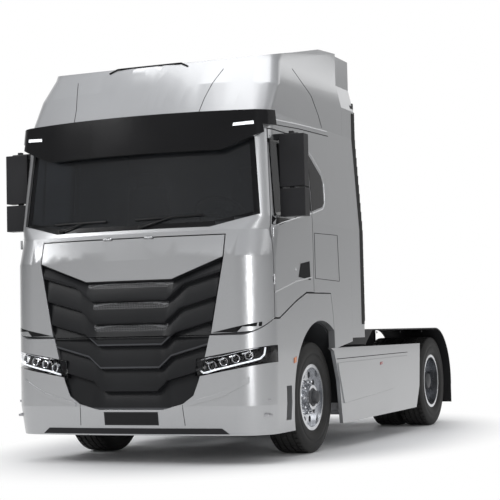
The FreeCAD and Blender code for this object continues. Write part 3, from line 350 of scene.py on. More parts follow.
# Tyres: radial truck tyres with four rain grooves, shoulder lugs and ribbed walls.
# Black rubber, pressed on the rims, greyed in patches by dust.
rubber = make_finish("tyre_rubber", ((0.013, 0.013, 0.013), (0.03, 0.029, 0.028)), (0.5, 0.72), (6.0, 4.0),
                     (260, 3.0), (0.3, 0.001), (0.3, 0.75), Specular_IOR_Level=0.25)
TYRE_WALL = [(0.112, 0.2985), (0.133, 0.303), (0.1365, 0.315), (0.144, 0.322), (0.151, 0.345), (0.1555, 0.372),
             (0.1568, 0.395), (0.1552, 0.398), (0.1552, 0.406), (0.1566, 0.409), (0.1545, 0.440), (0.149, 0.466),
             (0.1475, 0.469), (0.1475, 0.476), (0.1455, 0.4795), (0.142, 0.492), (0.134, 0.5015)]
TYRE_CROWN = [(0.122, 0.5048), (0.094, 0.5058), (0.092, 0.494), (0.082, 0.494), (0.080, 0.5062), (0.038, 0.5068),
              (0.036, 0.494), (0.026, 0.494), (0.024, 0.5068)]
TYRE_TURNS = 144


def add_part(shape, part):
    """Pour a finished part's mesh into another shape."""
    spare = bpy.data.meshes.new("spare")
    part.to_mesh(spare)
    part.free()
    shape.from_mesh(spare)
    bpy.data.meshes.remove(spare)


def tyre_shape():
    """One tyre about the x axis, with lugs cut in its shoulders and sipes in its ribs."""
    shape = bmesh.new()
    half = TYRE_WALL + TYRE_CROWN
    corners = [shape.verts.new((x, 0, radius)) for x, radius in half + [(-x, radius) for x, radius in reversed(half)]]
    edges = [shape.edges.new(pair) for pair in zip(corners, corners[1:])]
    bmesh.ops.spin(shape, geom=corners + edges, cent=(0, 0, 0), axis=(1, 0, 0), angle=math.tau,
                   steps=TYRE_TURNS, use_merge=True)
    lugs, sipes = [], []
    for face in shape.faces:
        middle = face.calc_center_median()
        turn = int((math.atan2(middle.y, middle.z) % math.tau) / math.tau * TYRE_TURNS)
        radius = math.hypot(middle.y, middle.z)
        if radius > 0.5028 and abs(middle.x) > 0.094 and turn % 3 == 0:
            lugs.append(face)
        elif radius > 0.5055 and abs(middle.x) < 0.081 and turn % 4 == (1 if abs(middle.x) > 0.03 else 3):
            sipes.append(face)
    for faces, rim, depth in ((lugs, 0.0035, 0.009), (sipes, 0.007, 0.005)):
        bmesh.ops.inset_individual(shape, faces=faces, thickness=rim)
        for face in faces:
            for corner in face.verts:
                corner.co -= Vector((0, corner.co.y, corner.co.z)).normalized() * depth
    return shape


WHEEL_BODIES = {"front_{}_left": "front_left_wheel", "front_{}_right": "front_right_wheel",
                "rear_{}s_left": "rear_left_wheels", "rear_{}s_right": "rear_right_wheels"}
dress(rubber, *(pattern.format("tyre") for pattern in WHEEL_BODIES))
TWIN_INSET = 0.1575
for pattern, body in WHEEL_BODIES.items():
    node_name = pattern.format("tyre")
    low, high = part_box(node_name)
    middle = [(low[axis] + high[axis]) / 2 for axis in range(3)]
    places = [middle[0]] if high[0] - low[0] < 0.4 else [low[0] + TWIN_INSET, high[0] - TWIN_INSET]
    tyre = bmesh.new()
    for place_x in places:
        one = tyre_shape()
        bmesh.ops.translate(one, verts=one.verts, vec=(place_x, middle[1], middle[2]))
        add_part(tyre, one)
    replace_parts(finish_piece(node_name.replace("tyre", "tread"), tyre, rubber, body, angle=38), node_name)


# Wheels: forged aluminium discs, machined and polished, with ten hand holes.
# Chrome-capped nuts hold them, and a painted cap covers each hub.
alloy = make_finish("polished_alloy", ((0.50, 0.51, 0.53), (0.70, 0.71, 0.73)), (0.14, 0.30), (60, 4.0), (7, 3.0),
                    grain_colours=True, Metallic=1.0)
dress(alloy, *(pattern.format("wheel") for pattern in WHEEL_BODIES))
chrome = zinc_steel("chrome", (0.72, 0.73, 0.75), 0.16)
hub_paint = painted_steel("hub_paint", (0.03, 0.031, 0.034), 0.35)


def panel_tree(*names):
    """Ray tree of the named pieces, for laying trim on their surfaces."""
    points, faces = [], []
    for name in names:
        data = nodes[name].data
        start = len(points)
        points += [corner.co.copy() for corner in data.vertices]
        faces += [[start + index for index in face.vertices] for face in data.polygons]
    return BVHTree.FromPolygons(points, faces)


def add_turned(shape, profile, pose, turns=40):
    """Turned part from (radius, height) points round a pose's z axis."""
    corners = [shape.verts.new((radius, 0, height)) for radius, height in profile]
    edges = [shape.edges.new(pair) for pair in zip(corners, corners[1:])]
    bmesh.ops.spin(shape, geom=corners + edges, cent=(0, 0, 0), axis=(0, 0, 1), angle=math.tau,
                   steps=turns, use_merge=True)
    found, queue = set(corners), list(corners)
    while queue:
        for line in queue.pop().link_edges:
            for corner in line.verts:
                if corner not in found:
                    found.add(corner)
                    queue.append(corner)
    bmesh.ops.transform(shape, matrix=pose, verts=list(found))


NUTS, NUT_CIRCLE = 10, 0.1475
HUB_CAP = [(0, 0.062), (0.03, 0.060), (0.052, 0.050), (0.060, 0.034), (0.063, 0.012), (0.078, 0.010), (0.086, 0.0)]
DRIVE_CAP = [(0, 0.085), (0.05, 0.083), (0.082, 0.072), (0.092, 0.05), (0.095, 0.012), (0.112, 0.010), (0.118, 0.0)]
OUTSIDE, BESIDE_HUB, CAP_SCREWS = 1.6, 0.1, 8
for pattern, body in WHEEL_BODIES.items():
    node_name = pattern.format("wheel")
    profile = HUB_CAP if pattern.startswith("front") else DRIVE_CAP
    low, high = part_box(node_name)
    sign = 1 if low[0] > 0 else -1
    centre_y, centre_z = (low[1] + high[1]) / 2, (low[2] + high[2]) / 2
    faces = panel_tree(node_name)
    nuts = bmesh.new()
    for nut in range(NUTS):
        angle = math.tau * (nut + 0.5) / NUTS
        across = Vector((0, math.sin(angle), math.cos(angle)))
        start = Vector((sign * OUTSIDE, centre_y, centre_z)) + across * NUT_CIRCLE
        hit = faces.ray_cast(start, Vector((-sign, 0, 0)))[0]
        if hit is None:
            continue
        add_bolt(nuts, hit, (sign, 0, 0), 0.0165, 0.032)
        bmesh.ops.create_uvsphere(nuts, u_segments=12, v_segments=6, radius=0.0125,
                                  matrix=Matrix.Translation(hit + Vector((sign * 0.031, 0, 0))))
    finish_piece(f"wheel_nuts_{body}", nuts, chrome, body)
    start = Vector((sign * OUTSIDE, centre_y, centre_z + BESIDE_HUB))
    hit = faces.ray_cast(start, Vector((-sign, 0, 0)))[0]
    seat_x = hit.x if hit else (high[0] if sign > 0 else low[0]) - sign * 0.1
    cap = bmesh.new()
    add_turned(cap, profile, pose_at((seat_x, centre_y, centre_z), (sign, 0, 0)))
    rim = profile[-2][0] - 0.006
    for screw in range(CAP_SCREWS):
        angle = math.tau * screw / CAP_SCREWS
        place = (seat_x + sign * profile[-2][1], centre_y + math.sin(angle) * rim, centre_z + math.cos(angle) * rim)
        add_bolt(cap, place, (sign, 0, 0), 0.005, 0.006)
    finish_piece(f"hub_cap_{body}", cap, hub_paint, body)

# Fuel and air tanks: brushed aluminium, held by steel straps.
# Each strap runs over the top and down the outer side.
brushed = zinc_steel("brushed_alloy", (0.52, 0.53, 0.55), 0.34)
dress(brushed, "tanks")


def add_side_box(shape, sign, near, far, edge=0.0, rounds=2):
    """Box on one side of the truck, from corners given for its left."""
    inner, outer = sorted((sign * near[0], sign * far[0]))
    add_box(shape, (inner, near[1], near[2]), (outer, far[1], far[2]), edge, rounds)


def side_boxes(name, boxes, edge, material, body):
    """One piece of the same boxes on both sides of the truck."""
    shape = bmesh.new()
    for side, sign in SIDES:
        for near, far in boxes:
            add_side_box(shape, sign, near, far, edge)
    finish_piece(name, shape, material, body)


STRAP_HALF = 0.03
straps = []
for along in (-0.5, 0.15, 0.85):
    front, rear = along - STRAP_HALF, along + STRAP_HALF
    straps += [((0.556, front, 0.8965), (1.157, rear, 0.905)), ((1.150, front, 0.30), (1.158, rear, 0.9))]
side_boxes("tank_straps", straps, 0.003, zinc, "chassis")


# Deck behind the cab: aluminium tread plate screwed on the rails, with raised lozenges.
# The lozenges are a pressed pattern, so they are in the finish as bumps.
def tread_plate():
    material, tree, shader = new_material("tread_plate")
    place = object_place(tree)
    turn = add_node(tree, "ShaderNodeMapping")
    set_sockets(turn, Rotation=(0, 0, math.radians(45)))
    tree.links.new(place, turn.inputs["Vector"])
    cells = add_node(tree, "ShaderNodeTexVoronoi", feature="F1")
    set_sockets(cells, Scale=34, Randomness=0.0)
    tree.links.new(turn.outputs["Vector"], cells.inputs["Vector"])
    raised = spread(tree, cells.outputs["Distance"], 1.0, 0.0, 0.28, 0.36)
    dull = noise(tree, place, 9, 4.0)
    tree.links.new(ramp(tree, dull, 0.3, 0.75, (0.24, 0.24, 0.25), (0.40, 0.40, 0.42)), shader.inputs["Base Color"])
    tree.links.new(spread(tree, dull, 0.32, 0.5), shader.inputs["Roughness"])
    set_sockets(shader, Metallic=0.9)
    bump(tree, shader, raised, 0.6, 0.003)
    return material


dress(tread_plate(), "deck")
DECK_TOP, SCREWS, SCREW_PITCH = 0.994, 7, 0.16
deck_screws = bmesh.new()
for side, sign in SIDES:
    for step in range(SCREWS):
        add_bolt(deck_screws, (sign * 0.43, -0.05 + step * SCREW_PITCH, DECK_TOP), (0, 0, 1), 0.009, 0.006, 12)
finish_piece("deck_screws", deck_screws, zinc, "chassis")

# Fifth wheel: cast plate with a greased top and a throat for the trailer's pin.
# It rocks on two pins; the grease is thin and smeared in patches.
greased_plate = make_finish("greased_plate", ((0.012, 0.012, 0.012), (0.09, 0.088, 0.085)), (0.18, 0.55), (7, 5.0, 0.6),
                            (160, 3.0), (0.2, 0.001), (0.35, 0.65), Metallic=0.5)
dress(greased_plate, "coupling_plate")


# Rear mudguards with their flaps, and arch liners: moulded black plastic with a fine grain.
# Screwed to brackets; ribs stiffen the tops and the flaps.
def black_plastic(name, colour, rough, grain):
    dark = tuple(part * 0.7 for part in colour)
    return make_finish(name, (dark, colour), (rough - 0.05, rough + 0.08), (2.1, 4.0), (grain, 4.0, 0.7),
                       (0.25, 0.0008), (0.3, 0.75), Specular_IOR_Level=0.2)


guard_plastic = black_plastic("guard_plastic", (0.016, 0.016, 0.017), 0.5, 380)
dress(guard_plastic, "mudguards")
dress(black_plastic("liner_plastic", (0.04, 0.041, 0.044), 0.6, 320), "arch_liners")
FLAP_RIBS, FLAP_RIB_PITCH, GUARD_RIBS, GUARD_RIB_PITCH = 9, 0.073, 3, 0.18
flap_ribs = bmesh.new()
guard_faces = panel_tree("mudguards")
for side, sign in SIDES:
    for step in range(FLAP_RIBS):
        x = sign * (0.56 + step * FLAP_RIB_PITCH)
        hit = guard_faces.ray_cast(Vector((x, 3.5, 0.4)), Vector((0, -1, 0)))[0]
        add_box(flap_ribs, (x - 0.006, hit.y - 0.001, 0.26), (x + 0.006, hit.y + 0.005, 0.44), 0.002)
finish_piece("mud_flap_ribs", flap_ribs, guard_plastic, "chassis")
guard_ribs = bmesh.new()
for side, sign in SIDES:
    for step in range(GUARD_RIBS):
        x = sign * (0.68 + step * GUARD_RIB_PITCH)
        add_box(guard_ribs, (x - 0.012, 0.05, 1.112), (x + 0.012, 1.95, 1.1195), 0.003)
    for along in (0.1, 0.9, 1.7):
        add_bolt(guard_ribs, (sign * 1.205, along, 1.085), (sign, 0, 0), 0.010, 0.005, 12)
finish_piece("guard_ribs", guard_ribs, guard_plastic, "chassis")


# Painted panels: pressed steel and moulded panels in silver metallic paint.
# The flake gives fine sparkle, the clear coat the hard shine; a broad mottle breaks the plainness.
def only(items, kind):
    return [item for item in items if isinstance(item, kind)]


def trim(shape, at, out, clear=True):
    """Cut a shape at a plane, and take off what lies beyond it or keep both parts; gives the cut's edges."""
    cut = bmesh.ops.bisect_plane(shape, geom=shape.verts[:] + shape.edges[:] + shape.faces[:], dist=0.00001,
                                 plane_co=at, plane_no=out, clear_outer=clear)
    return only(cut["geom_cut"], bmesh.types.BMEdge)


def cut_hole(shape, outline, front, rear):
    """Cut an outline seen from the front through a closed shape."""
    cutter = bmesh.new()
    cutter.faces.new([cutter.verts.new((across_x, front, height)) for across_x, height in outline])
    grown = bmesh.ops.extrude_face_region(cutter, geom=cutter.faces[:])["geom"]
    bmesh.ops.translate(cutter, vec=(0, rear - front, 0), verts=only(grown, bmesh.types.BMVert))
    bmesh.ops.recalc_face_normals(cutter, faces=cutter.faces)
    holders = []
    for part in (shape, cutter):
        data = bpy.data.meshes.new("spare")
        part.to_mesh(data)
        holders.append(bpy.data.objects.new("spare", data))
        bpy.context.collection.objects.link(holders[-1])
    cutter.free()
    hole = holders[0].modifiers.new("hole", "BOOLEAN")
    hole.object = holders[1]
    hole.solver = "EXACT"
    bpy.context.view_layer.update()
    cut = bpy.data.meshes.new_from_object(holders[0].evaluated_get(bpy.context.evaluated_depsgraph_get()))
    shape.clear()
    shape.from_mesh(cut)
    for holder in holders:
        bpy.data.objects.remove(holder)
    bpy.data.meshes.remove(cut)


def soft_panel(name, material, body, edge=0.004, angle=34, rounds=2, trims=(), hole=()):
    """A node's own panel with its flats joined, its folds rounded and its curves shaded smooth."""
    shape = bmesh.new()
    shape.from_mesh(nodes[name].data)
    bmesh.ops.remove_doubles(shape, verts=shape.verts, dist=0.00002)
    for at, out in trims:
        bmesh.ops.holes_fill(shape, edges=trim(shape, at, out), sides=0)
    if hole:
        cut_hole(shape, hole, -3.2, -2.8)
    bmesh.ops.dissolve_limit(shape, angle_limit=math.radians(0.4), verts=shape.verts, edges=shape.edges)
    piece = finish_piece(f"{name}_skin", shape, material, body, edge, angle, rounds)
    shading = piece.modifiers.new("shading", "WEIGHTED_NORMAL")
    shading.keep_sharp = True
    shading.weight = 80
    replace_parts(piece, name)


silver = make_finish("silver_paint", ((0.37, 0.375, 0.385), (0.47, 0.475, 0.485)), (0.26, 0.34), (1.3, 3.0),
                     (420, 3.0, 0.8), (0.05, 0.0006), (0.35, 0.7), grain_colours=True, Metallic=0.72, Coat_Weight=0.35,
                     Coat_Roughness=0.05)
dress(silver, "door_left", "door_right", "cab_frame", "side_fairings", "side_skirts")
SHIELD_HALF = [(0.757, 1.10), (0.707, 0.903), (0.648, 0.712), (0.599, 0.59), (0.50, 0.52), (0.352, 0.48)]
SHIELD = SHIELD_HALF + [(-across_x, height) for across_x, height in reversed(SHIELD_HALF)]
soft_panel("front_panel", silver, "front_flap")
soft_panel("corner_panels", silver, "cab")
soft_panel("bumper", silver, "chassis", hole=SHIELD)
soft_panel("roof", silver, "cab", 0.02, 30)
WAYS = {"front": Vector((0, 1, 0)), "rear": Vector((0, -1, 0)), "left": Vector((-1, 0, 0)),
        "right": Vector((1, 0, 0))}


def on_surface(faces, way, first, second, lift=0.0):
    """Point of a surface seen from one way: (x, z) from front and rear, (y, z) from a side."""
    towards = WAYS[way]
    sideways = towards.y == 0
    start = Vector((0, first, second) if sideways else (first, 0, second)) - towards * (4 if sideways else 6)
    hit = faces.ray_cast(start, towards)[0]
    if hit is None:
        near = faces.find_nearest(start + towards * 4.4)[0]
        hit = Vector((near.x, first, second) if sideways else (first, near.y, second))
    return hit - towards * lift


def add_laid(shape, faces, way, outline, thick, lift=0.0, step=0.04, hole=0.0):
    """Trim of one thickness laid on a surface inside an outline; with a hole it is a ring of that width."""
    flat = bmesh.new()
    corners = [flat.verts.new((first, second, 0)) for first, second in outline]
    flat.faces.new(corners)
    if hole:
        inner = bmesh.ops.inset_region(flat, faces=flat.faces[:], thickness=hole, use_boundary=True,
                                      use_even_offset=True)
        rim = set(inner["faces"])
        bmesh.ops.delete(flat, geom=[face for face in flat.faces if face not in rim], context="FACES")
    for axis in (0, 1):
        low = min(corner.co[axis] for corner in flat.verts)
        high = max(corner.co[axis] for corner in flat.verts)
        normal = Vector((1 - axis, axis, 0))
        parts = int((high - low) / step) + 1
        for cut in range(1, parts):
            trim(flat, normal * (low + cut * (high - low) / parts), normal, clear=False)
    bmesh.ops.triangulate(flat, faces=[face for face in flat.faces if len(face.verts) > 4])
    outer = set(only(bmesh.ops.extrude_face_region(flat, geom=flat.faces[:])["geom"], bmesh.types.BMVert))
    for corner in flat.verts:
        corner.co = on_surface(faces, way, corner.co.x, corner.co.y, lift + (thick if corner in outer else 0.0))
    add_part(shape, flat)


def laid(name, faces, way, outlines, material, body, thick, lift=0.0, step=0.04, hole=0.0, edge=0.0):
    shape = bmesh.new()
    for outline in outlines:
        add_laid(shape, faces, way, outline, thick, lift, step, hole)
    finish_piece(name, shape, material, body, edge=edge)


def along_surface(faces, way, line, lift=0.0, step=0.03):
    """Close points on a surface along a line of (first, second) points."""
    points = []
    for start, end in zip(line, line[1:]):
        count = max(1, int(math.dist(start, end) / step))
        for part in range(count):
            share = part / count
            points.append(on_surface(faces, way, start[0] + (end[0] - start[0]) * share,
                                     start[1] + (end[1] - start[1]) * share, lift))
    points.append(on_surface(faces, way, *line[-1], lift))
    return points


def bar_mesh(shape, points, radius):
    """Round bar through points, with closed ends."""
    curve = bpy.data.curves.new("bar", "CURVE")
    curve.dimensions = "3D"
    curve.bevel_depth = radius
    curve.bevel_resolution = 2
    curve.use_fill_caps = True
    spline = curve.splines.new("POLY")
    spline.points.add(len(points) - 1)
    for corner, point in zip(spline.points, points):
        corner.co = (*point, 1)
    holder = bpy.data.objects.new("bar", curve)
    data = bpy.data.meshes.new_from_object(holder)
    shape.from_mesh(data)
    bpy.data.objects.remove(holder)
    bpy.data.curves.remove(curve)
    bpy.data.meshes.remove(data)


def bars(name, lines, radius, material, body):
    shape = bmesh.new()
    for points in lines:
        bar_mesh(shape, points, radius)
    finish_piece(name, shape, material, body)


def both_ways(outline):
    """An outline seen from the front and its mirror image."""
    return [outline, [(-first, second) for first, second in outline]]


# Bumper: moulded panel in body colour with a join on each side of the plate and a dark lip under it.
# The joins are thin gaps; the plate is a black blank in a frame.
JOIN_RADIUS = 0.0026
# Near-black for real seams and seals, and also for painted shade: the step under the corner panels, the skirt groove,
# the roof slot and the fairings' air slots.
gap_and_shade_black = black_plastic("gap_and_shade_black", (0.006, 0.006, 0.007), 0.7, 300)
bumper_faces = panel_tree("bumper")
low_lip = [(-0.905, 0.262), (0.905, 0.262), (0.838, 0.312), (-0.838, 0.312)]
laid("bumper_lip", bumper_faces, "front", [low_lip], black_plastic("lip_plastic", (0.02, 0.02, 0.022), 0.45, 380),
     "chassis", 0.002, step=0.05)
join = [(0.496, 0.512), (0.5, 0.44), (0.507, 0.335)]
bars("bumper_joins", [along_surface(bumper_faces, "front", line) for line in both_ways(join)],
     JOIN_RADIUS, gap_and_shade_black, "chassis")
laid("plate_frame", bumper_faces, "front", [[(-0.262, 0.338), (0.262, 0.338), (0.262, 0.452), (-0.262, 0.452)]],
     black_plastic("plate_frame_plastic", (0.015, 0.015, 0.016), 0.4, 380), "chassis", 0.0028, step=0.06, edge=0.001)
laid("plate_blank", bumper_faces, "front", [[(-0.25, 0.35), (0.25, 0.35), (0.25, 0.44), (-0.25, 0.44)]],
     black_plastic("plate_face", (0.01, 0.01, 0.011), 0.22, 60), "chassis", 0.0005, lift=0.0024, step=0.06)

# Bumper ledges and corner step shade: a folded ledge runs from each lamp down to the plate's field,
# and a dark wedge of painted shade fills the step under each corner panel, where the panel overhangs it.
ledge = [(0.54, 0.498), (0.86, 0.578), (1.09, 0.692), (1.09, 0.742), (0.86, 0.618), (0.54, 0.532)]
laid("bumper_ledges", bumper_faces, "front", both_ways(ledge), silver, "chassis", 0.009, -0.001, step=0.05, edge=0.006)
# Dark wedge of painted shade under each corner panel's overhang.
step_shade = [(0.775, 1.118), (1.225, 1.118), (1.225, 1.21), (1.0, 1.165)]
laid("corner_step_shades", panel_tree("corner_panels"), "front", both_ways(step_shade), gap_and_shade_black, "cab", 0.002, step=0.05)

# Boarding steps in the bumper's sides: two grip treads in each recess.
# Anodised aluminium, six ribs to a tread.
step_alloy = zinc_steel("step_alloy", (0.5, 0.5, 0.52), 0.38)
TREADS = ((0.405, -2.885, -2.72), (0.53, -2.86, -2.69))
TREAD_RIBS, RIB_MARGIN = 6, 0.02
steps = bmesh.new()
for side, sign in SIDES:
    for height, front, rear in TREADS:
        add_side_box(steps, sign, (0.99, front, height), (1.225, rear, height + 0.022), 0.004)
        for rib in range(TREAD_RIBS):
            along = front + RIB_MARGIN + rib * (rear - front - 2 * RIB_MARGIN) / (TREAD_RIBS - 1)
            add_side_box(steps, sign, (1.0, along - 0.004, height + 0.02), (1.215, along + 0.004, height + 0.028),
                         0.0015)
finish_piece("boarding_steps", steps, step_alloy, "chassis")

# Headlamps: black housing behind a clear cover, with four lens modules in chrome rings,
# a white light guide along the lower and outer edge, and a chrome blade with fins under the top edge.
clear_cover = make_finish("clear_cover", ((0.93, 0.94, 0.95), (0.99, 0.99, 1.0)), (0.01, 0.03), (40, 2.0),
                          Transmission_Weight=1.0, IOR=1.2)
milky_guide = make_finish("milky_guide", ((0.85, 0.87, 0.9), (0.95, 0.96, 0.98)), None, (60, 2.0), Roughness=0.3,
                          Emission_Color=(0.95, 0.97, 1.0, 1), Emission_Strength=0.5)
lamp_black = black_plastic("lamp_black", (0.01, 0.01, 0.011), 0.2, 200)
lamp_faces = panel_tree("headlamps")
cover, housing = bmesh.new(), bmesh.new()
for shape, keep_skin, wall in ((cover, True, 0.003), (housing, False, 0.002)):
    shape.from_mesh(nodes["headlamps"].data)
    bmesh.ops.remove_doubles(shape, verts=shape.verts, dist=0.00002)
    bmesh.ops.recalc_face_normals(shape, faces=shape.faces)
    spare_faces = []
    for face in shape.faces:
        out = Vector((math.copysign(0.75, face.calc_center_median().x), -1, 0)).normalized()
        skin = face.normal.dot(out) > 0.45 and abs(face.normal.z) < 0.6
        if skin != keep_skin:
            spare_faces.append(face)
    bmesh.ops.delete(shape, geom=spare_faces, context="FACES")
    bmesh.ops.solidify(shape, geom=shape.faces[:], thickness=wall)
finish_piece("lamp_covers", cover, clear_cover, "chassis", angle=60)
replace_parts(finish_piece("lamp_housings", housing, lamp_black, "chassis"), "headlamps")
rings, lenses, guides = bmesh.new(), bmesh.new(), bmesh.new()
RING = [(0.026, 0.0), (0.030, 0.012), (0.034, 0.014), (0.037, 0.010), (0.038, -0.02), (0.030, -0.02), (0.026, 0.0)]
GUIDE_LINE = [(0.668, 0.800), (0.69, 0.783), (0.90, 0.826), (1.10, 0.872), (1.165, 0.892), (1.19, 0.925),
              (1.197, 0.985)]
BLADE_LINE = [(0.672, 0.883), (0.9, 0.931), (1.15, 0.984)]
MODULES = ((0.765, 0.838), (0.868, 0.872), (0.975, 0.896), (1.082, 0.921))
FINS = ((0.72, 0.862), (0.82, 0.89), (0.92, 0.915), (1.03, 0.94))
LENS = [(0, 0.012), (0.012, 0.0105), (0.021, 0.006), (0.0262, -0.002), (0.0262, -0.012), (0, -0.012)]
for side, sign in SIDES:
    for x, z in MODULES:
        pose = pose_at(on_surface(lamp_faces, "front", sign * x, z, -0.03), (sign * 0.25, -1, 0))
        add_turned(rings, RING, pose, 28)
        add_turned(lenses, LENS, pose, 24)
    bar_mesh(guides, along_surface(lamp_faces, "front", [(sign * x, z) for x, z in GUIDE_LINE], -0.014), 0.0075)
    bar_mesh(rings, along_surface(lamp_faces, "front", [(sign * x, z) for x, z in BLADE_LINE], -0.02), 0.006)
    for x, z in FINS:
        fin = [(sign * x, z - 0.005), (sign * (x + 0.05), z + 0.007)]
        bar_mesh(rings, along_surface(lamp_faces, "front", fin, -0.024), 0.008)
finish_piece("lamp_rings", rings, chrome, "chassis")
finish_piece("lamp_lenses", lenses, clear_cover, "chassis", angle=60)
finish_piece("lamp_guides", guides, milky_guide, "chassis")

# Grille: stepped black louvres with a glossy rolled lip painted a lighter grey as its highlight, and woven mesh in the
# middles of the upper rows, with painted light on its wires and painted shade in its openings.
# The louvres are moulded in one piece with their sloping wings; the mesh is clipped in behind the lips.
grille_plastic = black_plastic("grille_plastic", (0.014, 0.0145, 0.016), 0.34, 500)
# The lips' lighter grey is a painted highlight along each lip edge; their lower roughness is the real gloss.
lip_gloss_highlight = black_plastic("lip_gloss_highlight", (0.07, 0.072, 0.078), 0.22, 300)


def mesh_plastic_lit_and_shaded():
    material, tree, shader = new_material("mesh_plastic_lit_and_shaded")
    place = object_place(tree)
    cells = add_node(tree, "ShaderNodeTexVoronoi", feature="DISTANCE_TO_EDGE")
    set_sockets(cells, Scale=62, Randomness=0.15)
    tree.links.new(place, cells.inputs["Vector"])
    # Painted light and shade: the wires are light grey as if lit, and the cells are near black as the shade behind the
    # openings.
    tree.links.new(ramp(tree, cells.outputs["Distance"], 0.06, 0.14, (0.16, 0.162, 0.168), (0.006, 0.006, 0.007)),
                   shader.inputs["Base Color"])
    set_sockets(shader, Roughness=0.35)
    bump(tree, shader, spread(tree, cells.outputs["Distance"], 1.0, 0.0, 0.04, 0.16), 0.8, 0.004)
    return material


grille_faces = panel_tree("grille_upper", "grille_lower")
ROW_HEIGHTS = [0.631, 0.827, 1.023, 1.219, 1.415]
SHIELD_FOOT, FLAP_SPLIT, BROW_HALF = 0.474, 1.1, 0.415
LIP_HIGH, LOUVRE_DEEP, SHEET_INSET = 0.018, 0.05, 0.0048


def grille_front(across_x, inset=0.0):
    """How far forward the grille's curved front stands at a station across the truck."""
    out = min(abs(across_x), 0.86)
    return on_surface(grille_faces, "front", out, 1.4 + 0.35 * out).y + inset


def lip_bend(row):
    """Half width of a lip's level middle, then the run and the rise of its shoulder; the upper rows are wider."""
    share = row / (len(ROW_HEIGHTS) - 1)
    return 0.258 + 0.107 * share, 0.097 + 0.068 * share, 0.088 + 0.042 * share


def lip_height(row, across_x):
    """Height of a louvre's lip: level in the middle, a steep shoulder, then a gentle rise to the side."""
    out = abs(across_x)
    if row < 0:
        return SHIELD_FOOT
    if row == len(ROW_HEIGHTS):
        return 1.583 + 0.37 * max(out - BROW_HALF, 0)
    half, run, rise = lip_bend(row)
    return ROW_HEIGHTS[row] + rise * min(max((out - half) / run, 0), 1) + 0.27 * max(out - half - run, 0)


def stations(row):
    """Places across the truck where the rows have their bends, and steps between them."""
    places = {BROW_HALF} | {round(step * 0.06, 4) for step in range(16)}
    for near in (max(row, 0), min(row + 1, len(ROW_HEIGHTS) - 1)):
        half, run, rise = lip_bend(near)
        places |= {round(half, 4), round(half + run, 4)}
    return sorted({-place for place in places} | places)


def add_sheet(shape, places, lines):
    """Sheet drawn from line to line; each line gives a depth and a height at a station."""
    corners = [shape.verts.new((place, *lines[0](place))) for place in places]
    edges = [shape.edges.new(pair) for pair in zip(corners, corners[1:])]
    for line in lines[1:]:
        grown = bmesh.ops.extrude_edge_only(shape, edges=edges)["geom"]
        fresh = only(grown, bmesh.types.BMVert)
        edges = [item for item in only(grown, bmesh.types.BMEdge) if set(item.verts) <= set(fresh)]
        for corner in fresh:
            corner.co.yz = line(corner.co.x)


def lip_line(row, inset, rise=0.0):
    """Line across the grille along a row's lip, set back and raised a little."""
    return lambda across_x: (grille_front(across_x, inset), lip_height(row, across_x) + rise)


MESH_ROWS = 2
UPPER_TRIMS = [((0.885, 0, 1.757), (0.702, 0, -0.135)), ((0, 0, FLAP_SPLIT), (0, 0, -1))]
LOWER_TRIMS = [((high[0], 0, high[1]), (high[1] - low[1], 0, low[0] - high[0]))
               for high, low in zip(SHIELD_HALF, SHIELD_HALF[1:])] + [((0, 0, FLAP_SPLIT - 0.006), (0, 0, 1))]
for part_name, trims, node_name, body in (("louvres_upper", UPPER_TRIMS, "grille_upper", "front_flap"),
                                          ("louvres_lower", LOWER_TRIMS, "grille_lower", "chassis")):
    louvres, lips, meshes = bmesh.new(), bmesh.new(), bmesh.new()
    for row in range(-1, len(ROW_HEIGHTS)):
        places = stations(row)
        add_sheet(louvres, places, [lip_line(row, SHEET_INSET), lip_line(row, SHEET_INSET, LIP_HIGH),
                                    lip_line(row + 1, LOUVRE_DEEP, -0.012), lip_line(row + 1, SHEET_INSET)])
        add_sheet(lips, places, [lip_line(row, 0.0012, 0.001), lip_line(row, 0.0012, LIP_HIGH - 0.003)])
        if row >= MESH_ROWS:
            middle = [place for place in places if abs(place) <= lip_bend(row)[0] + 0.05]
            add_sheet(meshes, middle, [lip_line(row, 0.009, 0.026), lip_line(row + 1, 0.04, -0.02)])
    for shape, sheet_thick in ((louvres, 0.004), (lips, 0.002), (meshes, 0.002)):
        for at, out in trims:
            trim(shape, at, out)
            if out[0]:
                trim(shape, (-at[0], 0, at[2]), (-out[0], 0, out[2]))
        bmesh.ops.recalc_face_normals(shape, faces=shape.faces)
        bmesh.ops.solidify(shape, geom=shape.faces[:], thickness=sheet_thick)
    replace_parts(finish_piece(part_name, louvres, grille_plastic, body, angle=25), node_name)
    finish_piece(f"{part_name}_lips", lips, lip_gloss_highlight, body, angle=25)
    finish_piece(f"{part_name}_mesh", meshes, mesh_plastic_lit_and_shaded(), body, angle=25)

# Grille surround: a dark return edge round the louvres that closes the gap to the painted panels.
# Moulded with the louvres; the upper part lifts with the flap.
upper_rim = [(0.883, 1.755), (0.415, 1.583), (-0.415, 1.583), (-0.883, 1.755), (-0.757, FLAP_SPLIT),
             (0.757, FLAP_SPLIT)]
lower_rim = [(across_x, min(height, 1.086)) for across_x, height in SHIELD]
shield_faces = panel_tree("grille_upper", "grille_lower", "bumper", "headlamps")
for half_name, rim, body in (("upper", upper_rim, "front_flap"), ("lower", lower_rim, "chassis")):
    laid(f"grille_surround_{half_name}", shield_faces, "front", [rim], grille_plastic, body, 0.052, -0.054, 0.08, 0.01)

